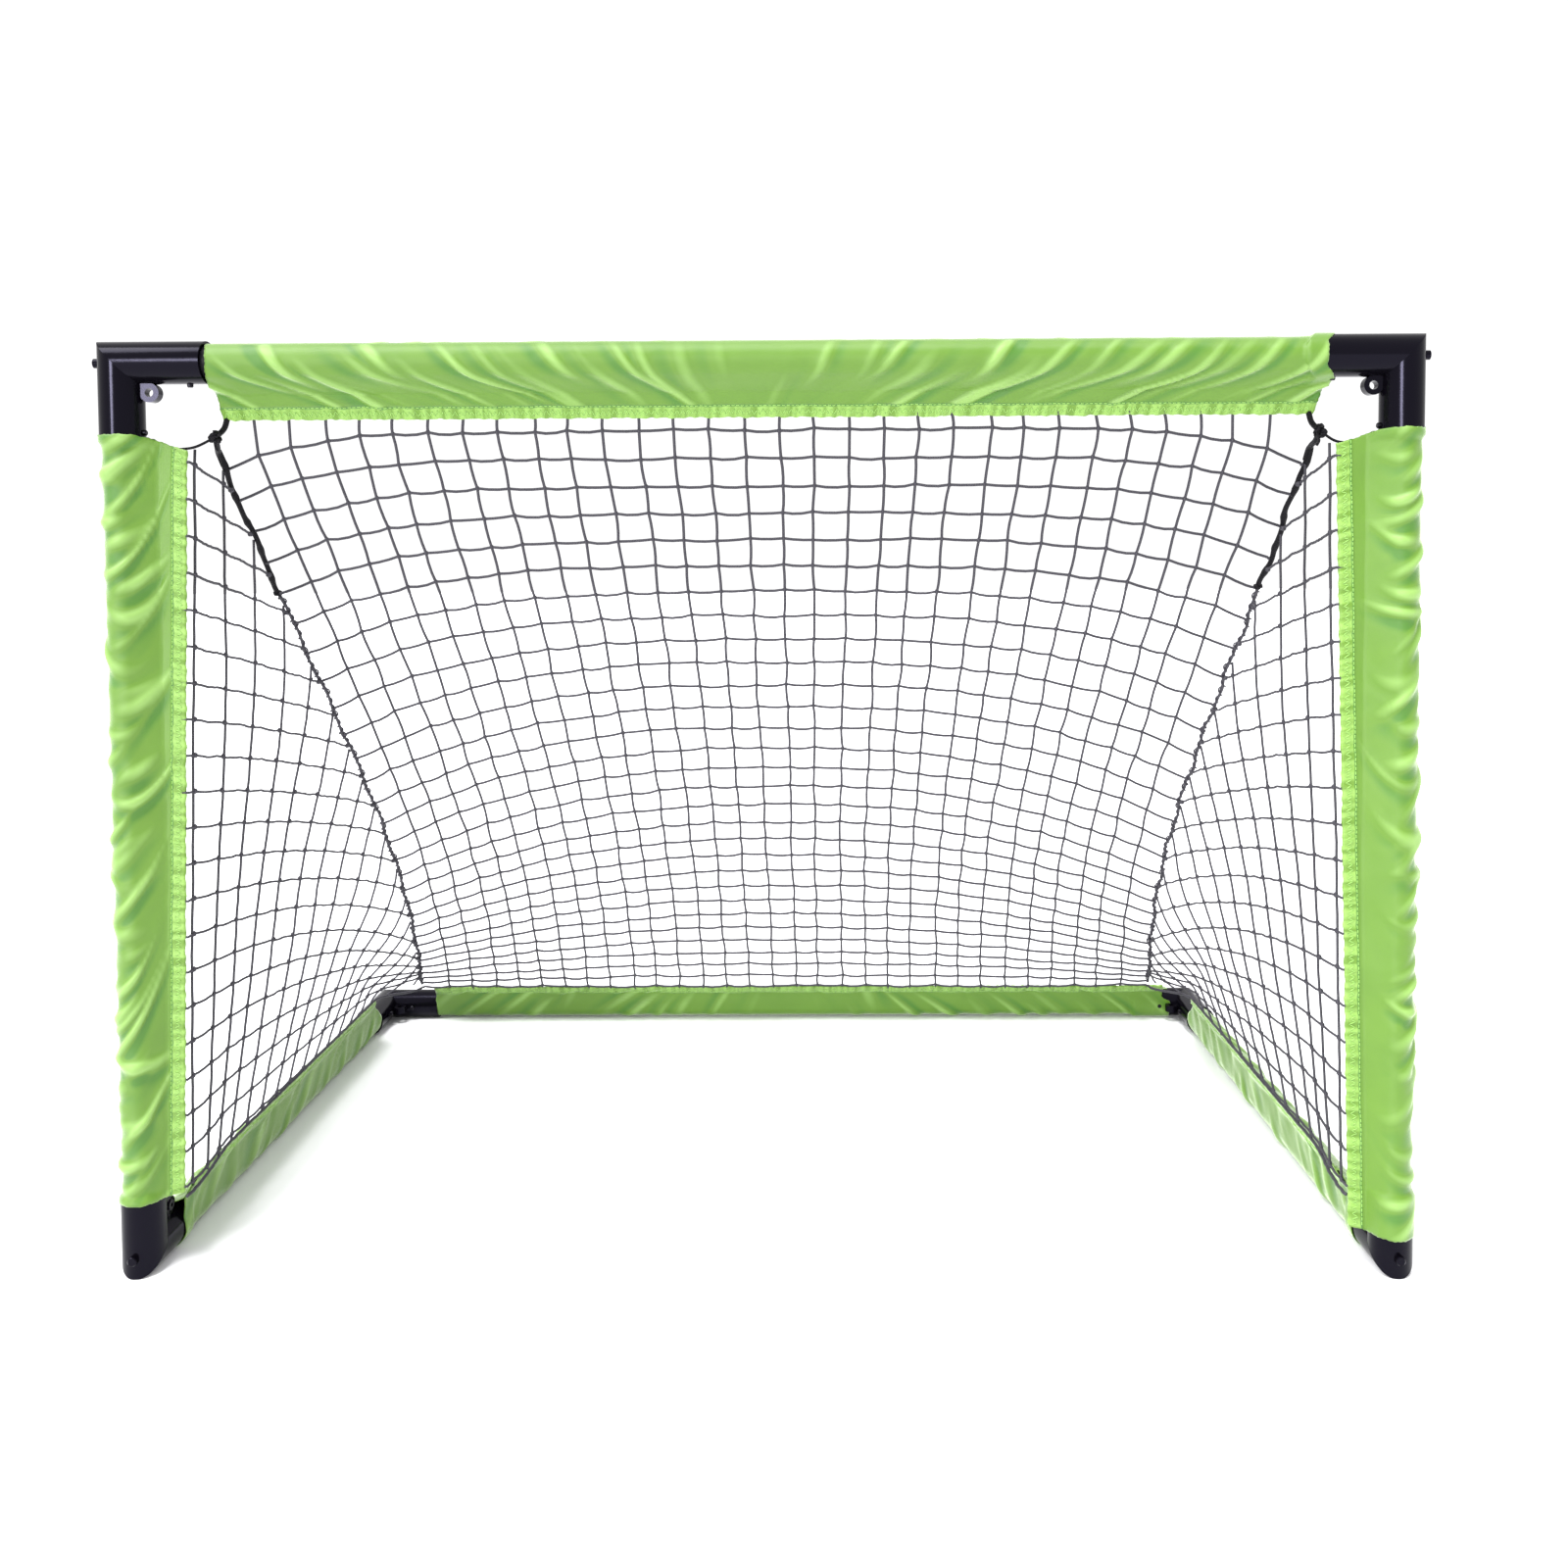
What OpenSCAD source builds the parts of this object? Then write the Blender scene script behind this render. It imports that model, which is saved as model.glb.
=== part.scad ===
// Folding street hockey goal: a tube frame in two halves that hinge together at the feet,
// moulded corner elbows with spring snap buttons, fabric sleeves over the tubes and a net.
// The mouth faces -Y. The origin is on the ground at the middle of the goal.

/* [Goal] */
// Width over the outer faces of the corner elbows
goal_w = 1240; // [1000:10:1600]
// Height from the ground to the top of the crossbar elbows
goal_h = 890; // [700:10:1200]
// Depth from the front face of the feet to the back of the rear elbows
goal_d = 740; // [600:10:1000]

/* [Tubes] */
// Outer diameter of the steel tubes
tube_od = 32; // [29:0.5:33]
// Wall of the steel tubes
tube_wall = 1.5; // [1:0.1:2]

/* [Elbows] */
// Outer diameter of the moulded elbow legs
elbow_od = 40; // [38:0.5:44]
// Gap between a tube and the socket that it sits in
socket_gap = 0.1; // [0.05:0.05:0.3]
// Socket leg of a top elbow along the crossbar, from the outer face of the corner
top_bar_leg = 102; // [98:1:140]
// Socket leg of a top elbow along the post, from the top of the corner
top_post_leg = 94; // [92:1:140]
// Socket leg of a foot up the post, from the ground
foot_post_leg = 75; // [74:1:120]
// Socket leg of a foot along the side tube, from its front face
foot_side_leg = 75; // [74:1:120]
// Socket leg of a rear elbow along the rear tube
rear_bar_leg = 100; // [90:1:140]
// Socket leg of a rear elbow along the side tube
rear_side_leg = 100; // [90:1:160]
// Solid floor between the corner and the end of each socket
socket_floor = 3; // [2:0.5:6]
// Diameter of the round nub on the outer face of each corner
nub_d = 9; // [7:0.5:12]
// Height of that nub
nub_h = 5; // [2:0.5:6]
// Depth of the flat land under each ground corner
land_cut = 0.5; // [0.3:0.1:1]
// Radius of the cord eye inside the top and rear corners
eye_r = 9; // [8:0.5:11]
// Radius of the hole in the cord eye
eye_hole_r = 4; // [2:0.5:5]
// Thickness of the cord eye
eye_t = 9; // [6:0.5:14]

/* [Fold] */
// Distance of the hinge axis from the inner faces of the two legs of a foot
hinge_off = 9; // [8:0.5:12]
// Radius of the hinge knuckles
knuckle_r = 8.5; // [7:0.5:8.5]
// Width of the middle knuckle, on the side half
knuckle_mid = 9; // [7:0.5:12]
// Width of each outer knuckle, on the post half
knuckle_side = 6; // [5:0.5:8]
// Gap between neighbouring knuckles
knuckle_gap = 0.4; // [0.3:0.1:0.6]
// Gap between the two halves of a foot along the mitre
mitre_gap = 0.4; // [0.3:0.1:0.8]
// Radius of the hinge rivet
rivet_r = 3.5; // [3:0.25:4]
// Radius of the bore through the hinge rivet
rivet_bore_r = 2; // [1:0.25:2.25]
// Radial running clearance of the rivet, the lock buttons and the springs
run_gap = 0.05; // [0.03:0.01:0.08]
// Travel of the lock button on each foot
lock_travel = 3.5; // [2:0.5:4]

/* [Snap buttons] */
// Distance of the snap buttons from the outer face of a top corner
top_button_at = 85; // [80:1:88]
// Distance of the snap buttons from the outer faces of a foot
foot_button_at = 68; // [66:1:70]
// Distance of the snap buttons from the outer faces of a rear corner
rear_button_at = 64; // [60:1:78]
// Radius of a snap button
button_r = 2.75; // [2:0.25:3.5]
// How far a snap button stands out of its elbow
button_proud = 3; // [2:0.25:4]
// Clearance of the snap button in its holes
button_gap = 0.25; // [0.15:0.05:0.4]
// Thickness of the spring leaf that carries a snap button
leaf_t = 0.8; // [0.5:0.1:1]
// Width of that leaf
leaf_w = 6; // [4.5:0.5:8]
// Length of that leaf
leaf_len = 20; // [16:1:24]

/* [Sleeves] */
// Thickness of the fabric tube round the steel tube
sleeve_t = 2.2; // [1.2:0.1:3]
// Gap between the fabric and what it covers
sleeve_gap = 0.3; // [0.3:0.05:0.6]
// Width of the fabric flap of the crossbar and side sleeves
flap_w = 40; // [30:1:50]
// Width of the flap of a post sleeve at its upper end
post_flap_top_w = 42; // [30:1:50]
// Width of the flap of a post sleeve at its lower end
post_flap_low_w = 22; // [18:1:40]
// Width of the flap of the rear sleeve
rear_flap_w = 32; // [26:1:40]
// Angle below the horizontal at which the crossbar's flap hangs
bar_flap_tilt = 60; // [40:1:70]
// Angle above the horizontal at which a side flap stands
side_flap_tilt = 60; // [40:1:62]
// Angle above the horizontal at which the rear flap stands
rear_flap_tilt = 45; // [30:1:60]
// Thickness of the doubled flap
flap_t = 2; // [1.5:0.1:3]
// Width of the stitched hem along the net edge of each flap
hem_w = 14; // [10:1:16]
// Thickness of that hem
hem_t = 3.4; // [2.5:0.1:4]
// Slant of the flap ends of the crossbar and rear sleeves
bar_slant = 2; // [1:1:20]
// Slant of the flap ends of the post sleeves and of the front end of the side sleeves
post_slant = 16; // [2:1:24]
// Slant of the rear end of the flap of a side sleeve
side_rear_slant = 56; // [2:1:80]
// Slant of the right end of the crossbar's flap
bar_right_slant = 10; // [2:1:20]
// How far the crossbar sleeve reaches over the leg of the right top elbow
bar_overlap = 23; // [19:1:30]
// How far the rear sleeve reaches over the leg of the right rear elbow
rear_overlap = 52; // [42:1:56]
// How far the left post sleeve reaches down over its foot
left_post_overlap = 8; // [4:1:20]
// How far the right post sleeve reaches down over its foot
right_post_overlap = 38; // [20:1:42]
// Thickness of the loose cuff of a sleeve over the leg of an elbow
cuff_t = 1.2; // [0.8:0.1:1.5]
// Length of the stitch-down taper between the fabric tube and the flap
flap_taper = 14; // [8:1:18]

/* [Net] */
// Gaps of the back net across the goal
net_cols = 16; // [8:1:18]
// Gaps of the back net from crossbar to rear tube
net_rows = 12; // [6:1:14]
// Gaps of each side net down the post
side_rows = 9; // [5:1:10]
// Width of a net strand
strand_w = 3; // [2:0.5:4]
// Thickness of a net strand
strand_t = 2; // [1.5:0.5:3]
// How far the back net hangs below a straight line
net_sag = 14; // [0:1:40]
// Distance from a post's axis to the top corner of the back net
net_top_inset = 65; // [60:1:110]
// Distance from a side tube's axis to the rear corner of the back net
net_rear_inset = 65; // [60:1:130]
// How far the seams bow inwards
seam_bow = 35; // [0:1:50]
// Diameter of the seam cords
seam_d = 6; // [4:0.5:8]
// Diameter of the ties between the sleeves and the net at the top corners
tie_d = 4; // [3:0.5:6]

/* [Hidden] */
$fn = 64;
black_plastic = "#1d1c22";
tube_steel = "#3a3b40";
zinc = "#b9bcc0";
lime_fabric = "#7fc752";
net_black = "#141318";

// Radii of the elbows, tubes and sockets
elbow_r = elbow_od / 2;
tube_r = tube_od / 2;
tube_bore_r = tube_r - tube_wall;
socket_r = tube_r + socket_gap;

// Where the leg axes of the left corners meet
post_x = goal_w / 2 - elbow_r;
front_y = (nub_h - goal_d) / 2;
post_y = front_y + elbow_r;
rear_y = front_y + goal_d - elbow_r;
bar_z = goal_h - elbow_r;
ground_z = elbow_r - land_cut;
top_corner = [-post_x, post_y, bar_z];
foot_corner = [-post_x, post_y, ground_z];
rear_corner = [-post_x, rear_y, ground_z];

// How far a cutter runs past what it cuts
past = 1;

// Directions in which the tubes and their inner sides point from the left corners
right_dir = [1, 0, 0];
back_dir = [0, 1, 0];
up_dir = [0, 0, 1];

// Sockets: where a tube starts, measured from the corner
tube_end_gap = 0.3;
socket_start = elbow_r + socket_floor;
tube_start = socket_start + tube_end_gap;
eye_sink = 1;
eye_root = 4;
eye_at = elbow_r + eye_r - eye_sink;
nub_root = 2;

// Hinge: its axis in the plane of the foot, measured from the corner
hinge_at = elbow_r + hinge_off;
knuckle_web = 5;
knuckle_sink = 6;
knuckle_root = elbow_r - knuckle_sink;
knuckle_stack = knuckle_mid + 2 * (knuckle_gap + knuckle_side);
rivet_head_t = 1.2;
rivet_lip = 1.6;
rivet_head_r = rivet_r + rivet_lip;

// Lock button: it slides in a blind bore along the axis of the side tube
lock_r = nub_d / 2;
lock_inside = 6;
lock_spring_shut = 4.5;
lock_depth = lock_inside + lock_travel + lock_spring_shut;
lock_spring_wall = 1;

// Snap buttons: pressed flush with the tube, the lower arm of the leaf just clears its wall
snap_travel = elbow_r + button_proud - tube_r;
leaf_gap = 0.3;
leaf_top = sqrt(pow(tube_bore_r, 2) - pow(leaf_w / 2, 2)) - leaf_gap;
leaf_bottom = snap_travel + leaf_gap - leaf_top;
leaf_bend_r = (leaf_top - leaf_bottom) / 2;
leaf_lap = 0.05;
leaf_lead = 1;
button_edge = 0.8;

// Sleeves: the fabric tube is round, its flap leaves it on one side
sleeve_bore_r = tube_r + sleeve_gap;
sleeve_r = sleeve_bore_r + sleeve_t;
cuff_bore_r = elbow_r + sleeve_gap;
hinge_room = 1;
cuff_start = hinge_at + knuckle_r + hinge_room;
eyelet_gap = 1;
eyelet_r = button_r + eyelet_gap;
flap_root = 1;
diagonal = sqrt(0.5);

bar_flap_dir = cos(bar_flap_tilt) * back_dir - sin(bar_flap_tilt) * up_dir;
side_flap_dir = cos(side_flap_tilt) * right_dir + sin(side_flap_tilt) * up_dir;
rear_flap_dir = sin(rear_flap_tilt) * up_dir - cos(rear_flap_tilt) * back_dir;

// Net: its edges lie just past the edges of the flaps
net_top_half = post_x - net_top_inset;
net_rear_half = post_x - net_rear_inset;
edge_clear = sleeve_gap + strand_w * 0.6;
bar_edge = sleeve_r + flap_w + edge_clear;
rear_edge = sleeve_r + rear_flap_w + edge_clear;
net_top = [0, post_y, bar_z] + bar_edge * bar_flap_dir;
net_bottom = [0, rear_y, ground_z] + rear_edge * rear_flap_dir;
net_run = net_bottom - net_top;
net_normal = [0, net_run.z, -net_run.y] / norm(net_run);
seam_skew = 1.36;
seam_clear = seam_d / 2 + edge_clear;
side_edge = foot_corner + bar_edge * side_flap_dir;
post_low_z = ground_z - elbow_r + foot_post_leg;
side_top_z = bar_z + elbow_r - top_post_leg;
side_flap_end_y = rear_y + elbow_r - rear_side_leg - side_rear_slant;
seam_rings = 14;
cord_sides = 8;

// ---------- Placing ----------

// Puts a piece drawn along +X, with its inner side at +Y, at a corner
module along(at, x_to, y_to) {
  z_to = cross(x_to, y_to);
  multmatrix([
    [x_to.x, y_to.x, z_to.x, at.x],
    [x_to.y, y_to.y, z_to.y, at.y],
    [x_to.z, y_to.z, z_to.z, at.z],
    [0, 0, 0, 1]
  ]) children();
}

// The right-hand piece of a pair is the left one mirrored
module right() mirror([1, 0, 0]) children();

// Cylinder along +X from x = start to x = end
module rod(r, start, end) translate([start, 0, 0]) rotate([0, 90, 0]) cylinder(r = r, h = end - start);

// ---------- Elbows ----------

// Swaps the two legs of a corner
module swapped() mirror([1, -1, 0]) children();

// Leg along +X, cut on the mitre plane x = y, with half of the gap taken off
module mitred_leg(leg, gap = 0) {
  edge = gap * diagonal;
  reach = leg + elbow_r;
  intersection() {
    rod(elbow_r, -elbow_r, leg - elbow_r);
    translate([0, 0, -reach])
      linear_extrude(2 * reach)
        polygon([[edge - reach, -reach], [reach, -reach], [reach, reach - edge]]);
  }
}

// Socket bore and snap button hole of the leg along +X
module socket_cut(leg, button_at) {
  rod(socket_r, socket_start, leg);
  translate([button_at - elbow_r, 0, 0])
    rotate([-90, 0, 0])
      cylinder(r = button_r + button_gap, h = elbow_r + past);
}

// Round nub on the outer face, on the axis of the leg along +X
module nub() rod(nub_d / 2, -elbow_r - nub_h, -elbow_r + nub_root);

// Everything below the ground plane, seen from a ground corner
module below_ground() translate([-goal_w, -goal_d, -elbow_od]) cube([2 * goal_w, 2 * goal_d, elbow_od]);

// One-piece corner with two sockets, a nub and a cord eye
module elbow(leg_x, leg_y, button_at) {
  color(black_plastic)
    difference() {
      union() {
        mitred_leg(leg_x);
        swapped() mitred_leg(leg_y);
        nub();
        translate([0, 0, -eye_t / 2])
          linear_extrude(eye_t) {
            translate([eye_at, eye_at]) circle(r = eye_r);
            translate([elbow_r - eye_root, elbow_r - eye_root]) square(eye_at - elbow_r + eye_root);
          }
      }
      socket_cut(leg_x, button_at);
      swapped() socket_cut(leg_y, button_at);
      translate([eye_at, eye_at, -eye_t]) cylinder(r = eye_hole_r, h = 2 * eye_t);
    }
}

// Corner between the crossbar and a post
module top_elbow() along(top_corner, right_dir, -up_dir) elbow(top_bar_leg, top_post_leg, top_button_at);

// Corner between a side tube and the rear tube, standing on its flat land
module rear_elbow() {
  color(black_plastic)
    difference() {
      along(rear_corner, right_dir, -back_dir) elbow(rear_bar_leg, rear_side_leg, rear_button_at);
      below_ground();
    }
}

// Hinge knuckle of the leg along +X: a disc round the hinge axis on a web
module knuckle(width) {
  translate([0, 0, -width / 2])
    linear_extrude(width) {
      translate([hinge_at, hinge_at]) circle(r = knuckle_r);
      translate([hinge_at - knuckle_web, knuckle_root])
        square([knuckle_web + knuckle_r, hinge_at - knuckle_root]);
    }
}

module hinge_bore() {
  translate([hinge_at, hinge_at, -knuckle_stack])
    cylinder(r = rivet_r + run_gap, h = 2 * knuckle_stack);
}

// ---------- Feet ----------

// Half of a foot that holds the side tube and carries the middle knuckle
module foot_side_half() {
  color(black_plastic)
    difference() {
      along(foot_corner, back_dir, up_dir)
        difference() {
          union() {
            mitred_leg(foot_side_leg, mitre_gap);
            knuckle(knuckle_mid);
          }
          socket_cut(foot_side_leg, foot_button_at);
          hinge_bore();
        }
      below_ground();
    }
}

// Half of a foot that holds the post and carries the two outer knuckles and the lock button
module foot_post_half() {
  color(black_plastic)
    difference() {
      along(foot_corner, back_dir, up_dir)
        difference() {
          swapped() {
            mitred_leg(foot_post_leg, mitre_gap);
            for (side = [-1, 1])
              translate([0, 0, side * (knuckle_stack - knuckle_side) / 2]) knuckle(knuckle_side);
          }
          swapped() socket_cut(foot_post_leg, foot_button_at);
          hinge_bore();
          rod(lock_r + run_gap, -elbow_r - past, lock_depth - elbow_r);
        }
      below_ground();
    }
}

// Hollow rivet that the two halves of a foot turn on
module hinge_rivet() {
  color(zinc)
    along(foot_corner, back_dir, up_dir)
      translate([hinge_at, hinge_at, 0])
        difference() {
          union() {
            translate([0, 0, -knuckle_stack / 2 - run_gap])
              cylinder(r = rivet_r, h = knuckle_stack + 2 * run_gap);
            for (side = [0, 1])
              mirror([0, 0, side])
                translate([0, 0, knuckle_stack / 2 + run_gap])
                  cylinder(r = rivet_head_r, h = rivet_head_t);
          }
          translate([0, 0, -knuckle_stack]) cylinder(r = rivet_bore_r, h = 2 * knuckle_stack);
        }
}

// Push button that frees the lock of a foot
module lock_button() {
  color(black_plastic)
    along(foot_corner, back_dir, up_dir)
      translate([-elbow_r - nub_h, 0, 0])
        rotate([90, 0, 90])
          rotate_extrude()
            polygon([
              [0, 0], [lock_r - button_edge, 0], [lock_r, button_edge],
              [lock_r, nub_h + lock_inside], [0, nub_h + lock_inside]
            ]);
}

// Coil spring behind the lock button, as the solid that it fills
module lock_spring() {
  color(zinc)
    along(foot_corner, back_dir, up_dir)
      difference() {
        rod(lock_r - run_gap, lock_inside - elbow_r, lock_depth - elbow_r);
        rod(lock_r - run_gap - lock_spring_wall, -elbow_r, elbow_r);
      }
}

// ---------- Snap buttons ----------

// Button on its hairpin spring leaf, inside a tube along +X, with the button towards +Y
module snap(button_at) {
  head_top = elbow_r + button_proud;
  leaf_middle = (leaf_top + leaf_bottom) / 2;
  color(zinc)
    translate([button_at - elbow_r, 0, 0]) {
      rotate([-90, 0, 0])
        rotate_extrude()
          polygon([
            [0, leaf_top - leaf_t / 2], [button_r, leaf_top - leaf_t / 2],
            [button_r, head_top - button_edge], [button_r - button_edge, head_top], [0, head_top]
          ]);
      translate([0, 0, -leaf_w / 2])
        linear_extrude(leaf_w) {
          translate([-button_r - leaf_lead, leaf_top - leaf_t])
            square([leaf_len + button_r + leaf_lead, leaf_t]);
          translate([leaf_len / 3, leaf_bottom]) square([leaf_len * 2 / 3, leaf_t]);
          translate([leaf_len, leaf_middle])
            difference() {
              circle(r = leaf_bend_r);
              circle(r = leaf_bend_r - leaf_t);
              translate([-2 * leaf_bend_r - leaf_lap, -2 * leaf_bend_r])
                square([2 * leaf_bend_r, 4 * leaf_bend_r]);
            }
        }
    }
}

// Snap buttons of the two legs of each corner, on the inner sides
module top_bar_snap() along(top_corner, right_dir, -up_dir) snap(top_button_at);
module top_post_snap() along(top_corner, -up_dir, right_dir) snap(top_button_at);
module foot_post_snap() along(foot_corner, up_dir, back_dir) snap(foot_button_at);
module foot_side_snap() along(foot_corner, back_dir, up_dir) snap(foot_button_at);
module rear_side_snap() along(rear_corner, -back_dir, right_dir) snap(rear_button_at);
module rear_bar_snap() along(rear_corner, right_dir, -back_dir) snap(rear_button_at);

// ---------- Tubes ----------

// Tube along +X between two corners, with a button hole near each end.
// far_turn turns the far hole about the tube.
module corner_tube(span, near_at, far_at, far_turn = 0) {
  color(tube_steel)
    difference() {
      rod(tube_r, tube_start, span - tube_start);
      rod(tube_bore_r, 0, span);
      translate([near_at - elbow_r, 0, 0])
        rotate([-90, 0, 0]) cylinder(r = button_r + button_gap, h = tube_od);
      translate([span - far_at + elbow_r, 0, 0])
        rotate([far_turn - 90, 0, 0]) cylinder(r = button_r + button_gap, h = tube_od);
    }
}

module crossbar_tube() {
  along(top_corner, right_dir, -up_dir) corner_tube(2 * post_x, top_button_at, top_button_at);
}

module post_tube() {
  along(foot_corner, up_dir, back_dir) corner_tube(bar_z - ground_z, foot_button_at, top_button_at, -90);
}

module side_tube() {
  along(foot_corner, back_dir, up_dir) corner_tube(rear_y - post_y, foot_button_at, rear_button_at, 90);
}

module rear_tube() {
  along(rear_corner, right_dir, -back_dir) corner_tube(2 * post_x, rear_button_at, rear_button_at);
}

// ---------- Sleeves ----------

// Flap of thickness t along +X whose widths at the two ends are reach[0] and reach[1]. It lies
// at +Y, between a distance inside its edge and the edge, and its ends are slanted.
module flap(length, reach, inside, slants, t) {
  inner = function(end) max(reach[end] - inside, 0);
  x_at = function(end, out) end * length + (1 - 2 * end) * slants[end] * out / reach[end];
  translate([0, 0, -t / 2])
    linear_extrude(t)
      polygon([
        for (corner = [[0, inner(0)], [0, reach[0]], [1, reach[1]], [1, inner(1)]])
          [x_at(corner[0], corner[1]), sleeve_r - flap_root + corner[1]]
      ]);
}

// Wedge along +X that leaves a circle of radius r tangentially and meets in a line at y = tip
module teardrop(r, tip, start, end) {
  touch = acos(r / tip);
  translate([start, 0, 0])
    rotate([90, 0, 90])
      linear_extrude(end - start)
        polygon([[tip, 0], [r * cos(touch), r * sin(touch)], [r * cos(touch), -r * sin(touch)]]);
}

// Fabric sleeve along +X with its flap towards +Y, between a leg at each end. widths, slants and
// cuffs hold one value for each end. A cuff covers the end of the leg that the sleeve meets.
module sleeve(span, legs, widths, slants, cuffs) {
  start = legs[0] - elbow_r + sleeve_gap;
  length = span - start - (legs[1] - elbow_r) - sleeve_gap;
  cuff_r = cuff_bore_r + cuff_t;
  reach = widths + [flap_root, flap_root];
  color(lime_fabric)
    translate([start, 0, 0])
      difference() {
        union() {
          rod(sleeve_r, 0, length);
          if (cuffs[0] > 0) rod(cuff_r, -cuffs[0], cuff_t);
          if (cuffs[1] > 0) rod(cuff_r, length - cuff_t, length + cuffs[1]);
          teardrop(sleeve_r, sleeve_r + flap_taper, 0, length);
          translate([-cuffs[0], 0, 0]) {
            flap(length + cuffs[0] + cuffs[1], reach, max(reach), slants, flap_t);
            flap(length + cuffs[0] + cuffs[1], reach, hem_w, slants, hem_t);
          }
        }
        rod(sleeve_bore_r, -past, length + past);
        teardrop(sleeve_bore_r, sleeve_r + flap_taper - 2 * sleeve_t, -past, length + past);
        if (cuffs[0] > 0) rod(cuff_bore_r, -cuffs[0] - past, 0);
        if (cuffs[1] > 0) rod(cuff_bore_r, length, length + cuffs[1] + past);
      }
}

// Eyelet of a cuff round the snap button on the inner side of a leg along +X
module eyelet(button_at) {
  translate([button_at - elbow_r, 0, 0]) rotate([-90, 0, 0]) cylinder(r = eyelet_r, h = elbow_od);
}

// Sleeve of the crossbar, with its flap towards the net
module crossbar_sleeve() {
  legs = [top_bar_leg, top_bar_leg];
  difference() {
    along(top_corner, right_dir, bar_flap_dir)
      sleeve(2 * post_x, legs, [flap_w, flap_w], [bar_slant, bar_right_slant], [0, bar_overlap]);
    right() along(top_corner, right_dir, -up_dir) eyelet(top_button_at);
  }
}

// Sleeve of a post. Its flap is narrower at the foot, and its cuff is open round the hinge.
module post_sleeve(overlap) {
  legs = [foot_post_leg, top_post_leg];
  window = knuckle_stack + 2 * hinge_room;
  difference() {
    along(foot_corner, up_dir, right_dir)
      sleeve(
        bar_z - ground_z, legs, [post_flap_low_w, post_flap_top_w], [post_slant, post_slant],
        [overlap, 0]
      );
    along(foot_corner, up_dir, back_dir) {
      eyelet(foot_button_at);
      translate([0, 0, -window / 2]) cube([cuff_start, elbow_od, window]);
    }
  }
}

// Sleeve of a side tube. Its cuff is open along the ground, where the foot stands on its land.
module side_sleeve() {
  legs = [foot_side_leg, rear_side_leg];
  cuff = foot_side_leg - elbow_r + sleeve_gap - cuff_start;
  difference() {
    along(foot_corner, back_dir, side_flap_dir)
      sleeve(rear_y - post_y, legs, [flap_w, flap_w], [post_slant, side_rear_slant], [cuff, 0]);
    along(foot_corner, back_dir, up_dir) eyelet(foot_button_at);
    below_ground();
  }
}

// Sleeve of the rear tube. Its cuff is open along the ground and round the cord eye, and its flap
// ends short of the eye, so that a cord goes straight through.
module rear_sleeve() {
  legs = [rear_bar_leg, rear_bar_leg];
  eye_room = eye_r + sleeve_gap;
  difference() {
    along(rear_corner, right_dir, rear_flap_dir)
      sleeve(2 * post_x, legs, [rear_flap_w, rear_flap_w], [bar_slant, bar_slant], [0, rear_overlap]);
    right() along(rear_corner, right_dir, -back_dir) {
      eyelet(rear_button_at);
      translate([0, 0, -eye_t / 2 - sleeve_gap]) cube([eye_at + eye_room, elbow_od, eye_t + 2 * sleeve_gap]);
      translate([0, eye_at - eye_room, -elbow_od]) cube([eye_at + eye_room, elbow_od, 2 * elbow_od]);
    }
    below_ground();
  }
}

// ---------- Net ----------

function unit(v) = v / norm(v);
function mix(a, b, s) = a + (b - a) * s;
function limit(x, low, high) = max(low, min(high, x));

// Two triangles of a quad whose corners run clockwise seen from outside
function two(a, b, c, d) = [[a, b, c], [a, c, d]];

// Seam: half width of the back net at t, from 0 at the crossbar to 1 at the rear tube
function seam_x(t) = mix(net_top_half, net_rear_half, t) - seam_bow * sin(180 * pow(t, seam_skew));

// Point of the back panel's line at t, in the plane x = 0, with its sag
function net_line(t) = net_top + net_run * t + net_normal * net_sag * sin(180 * t);

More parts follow.
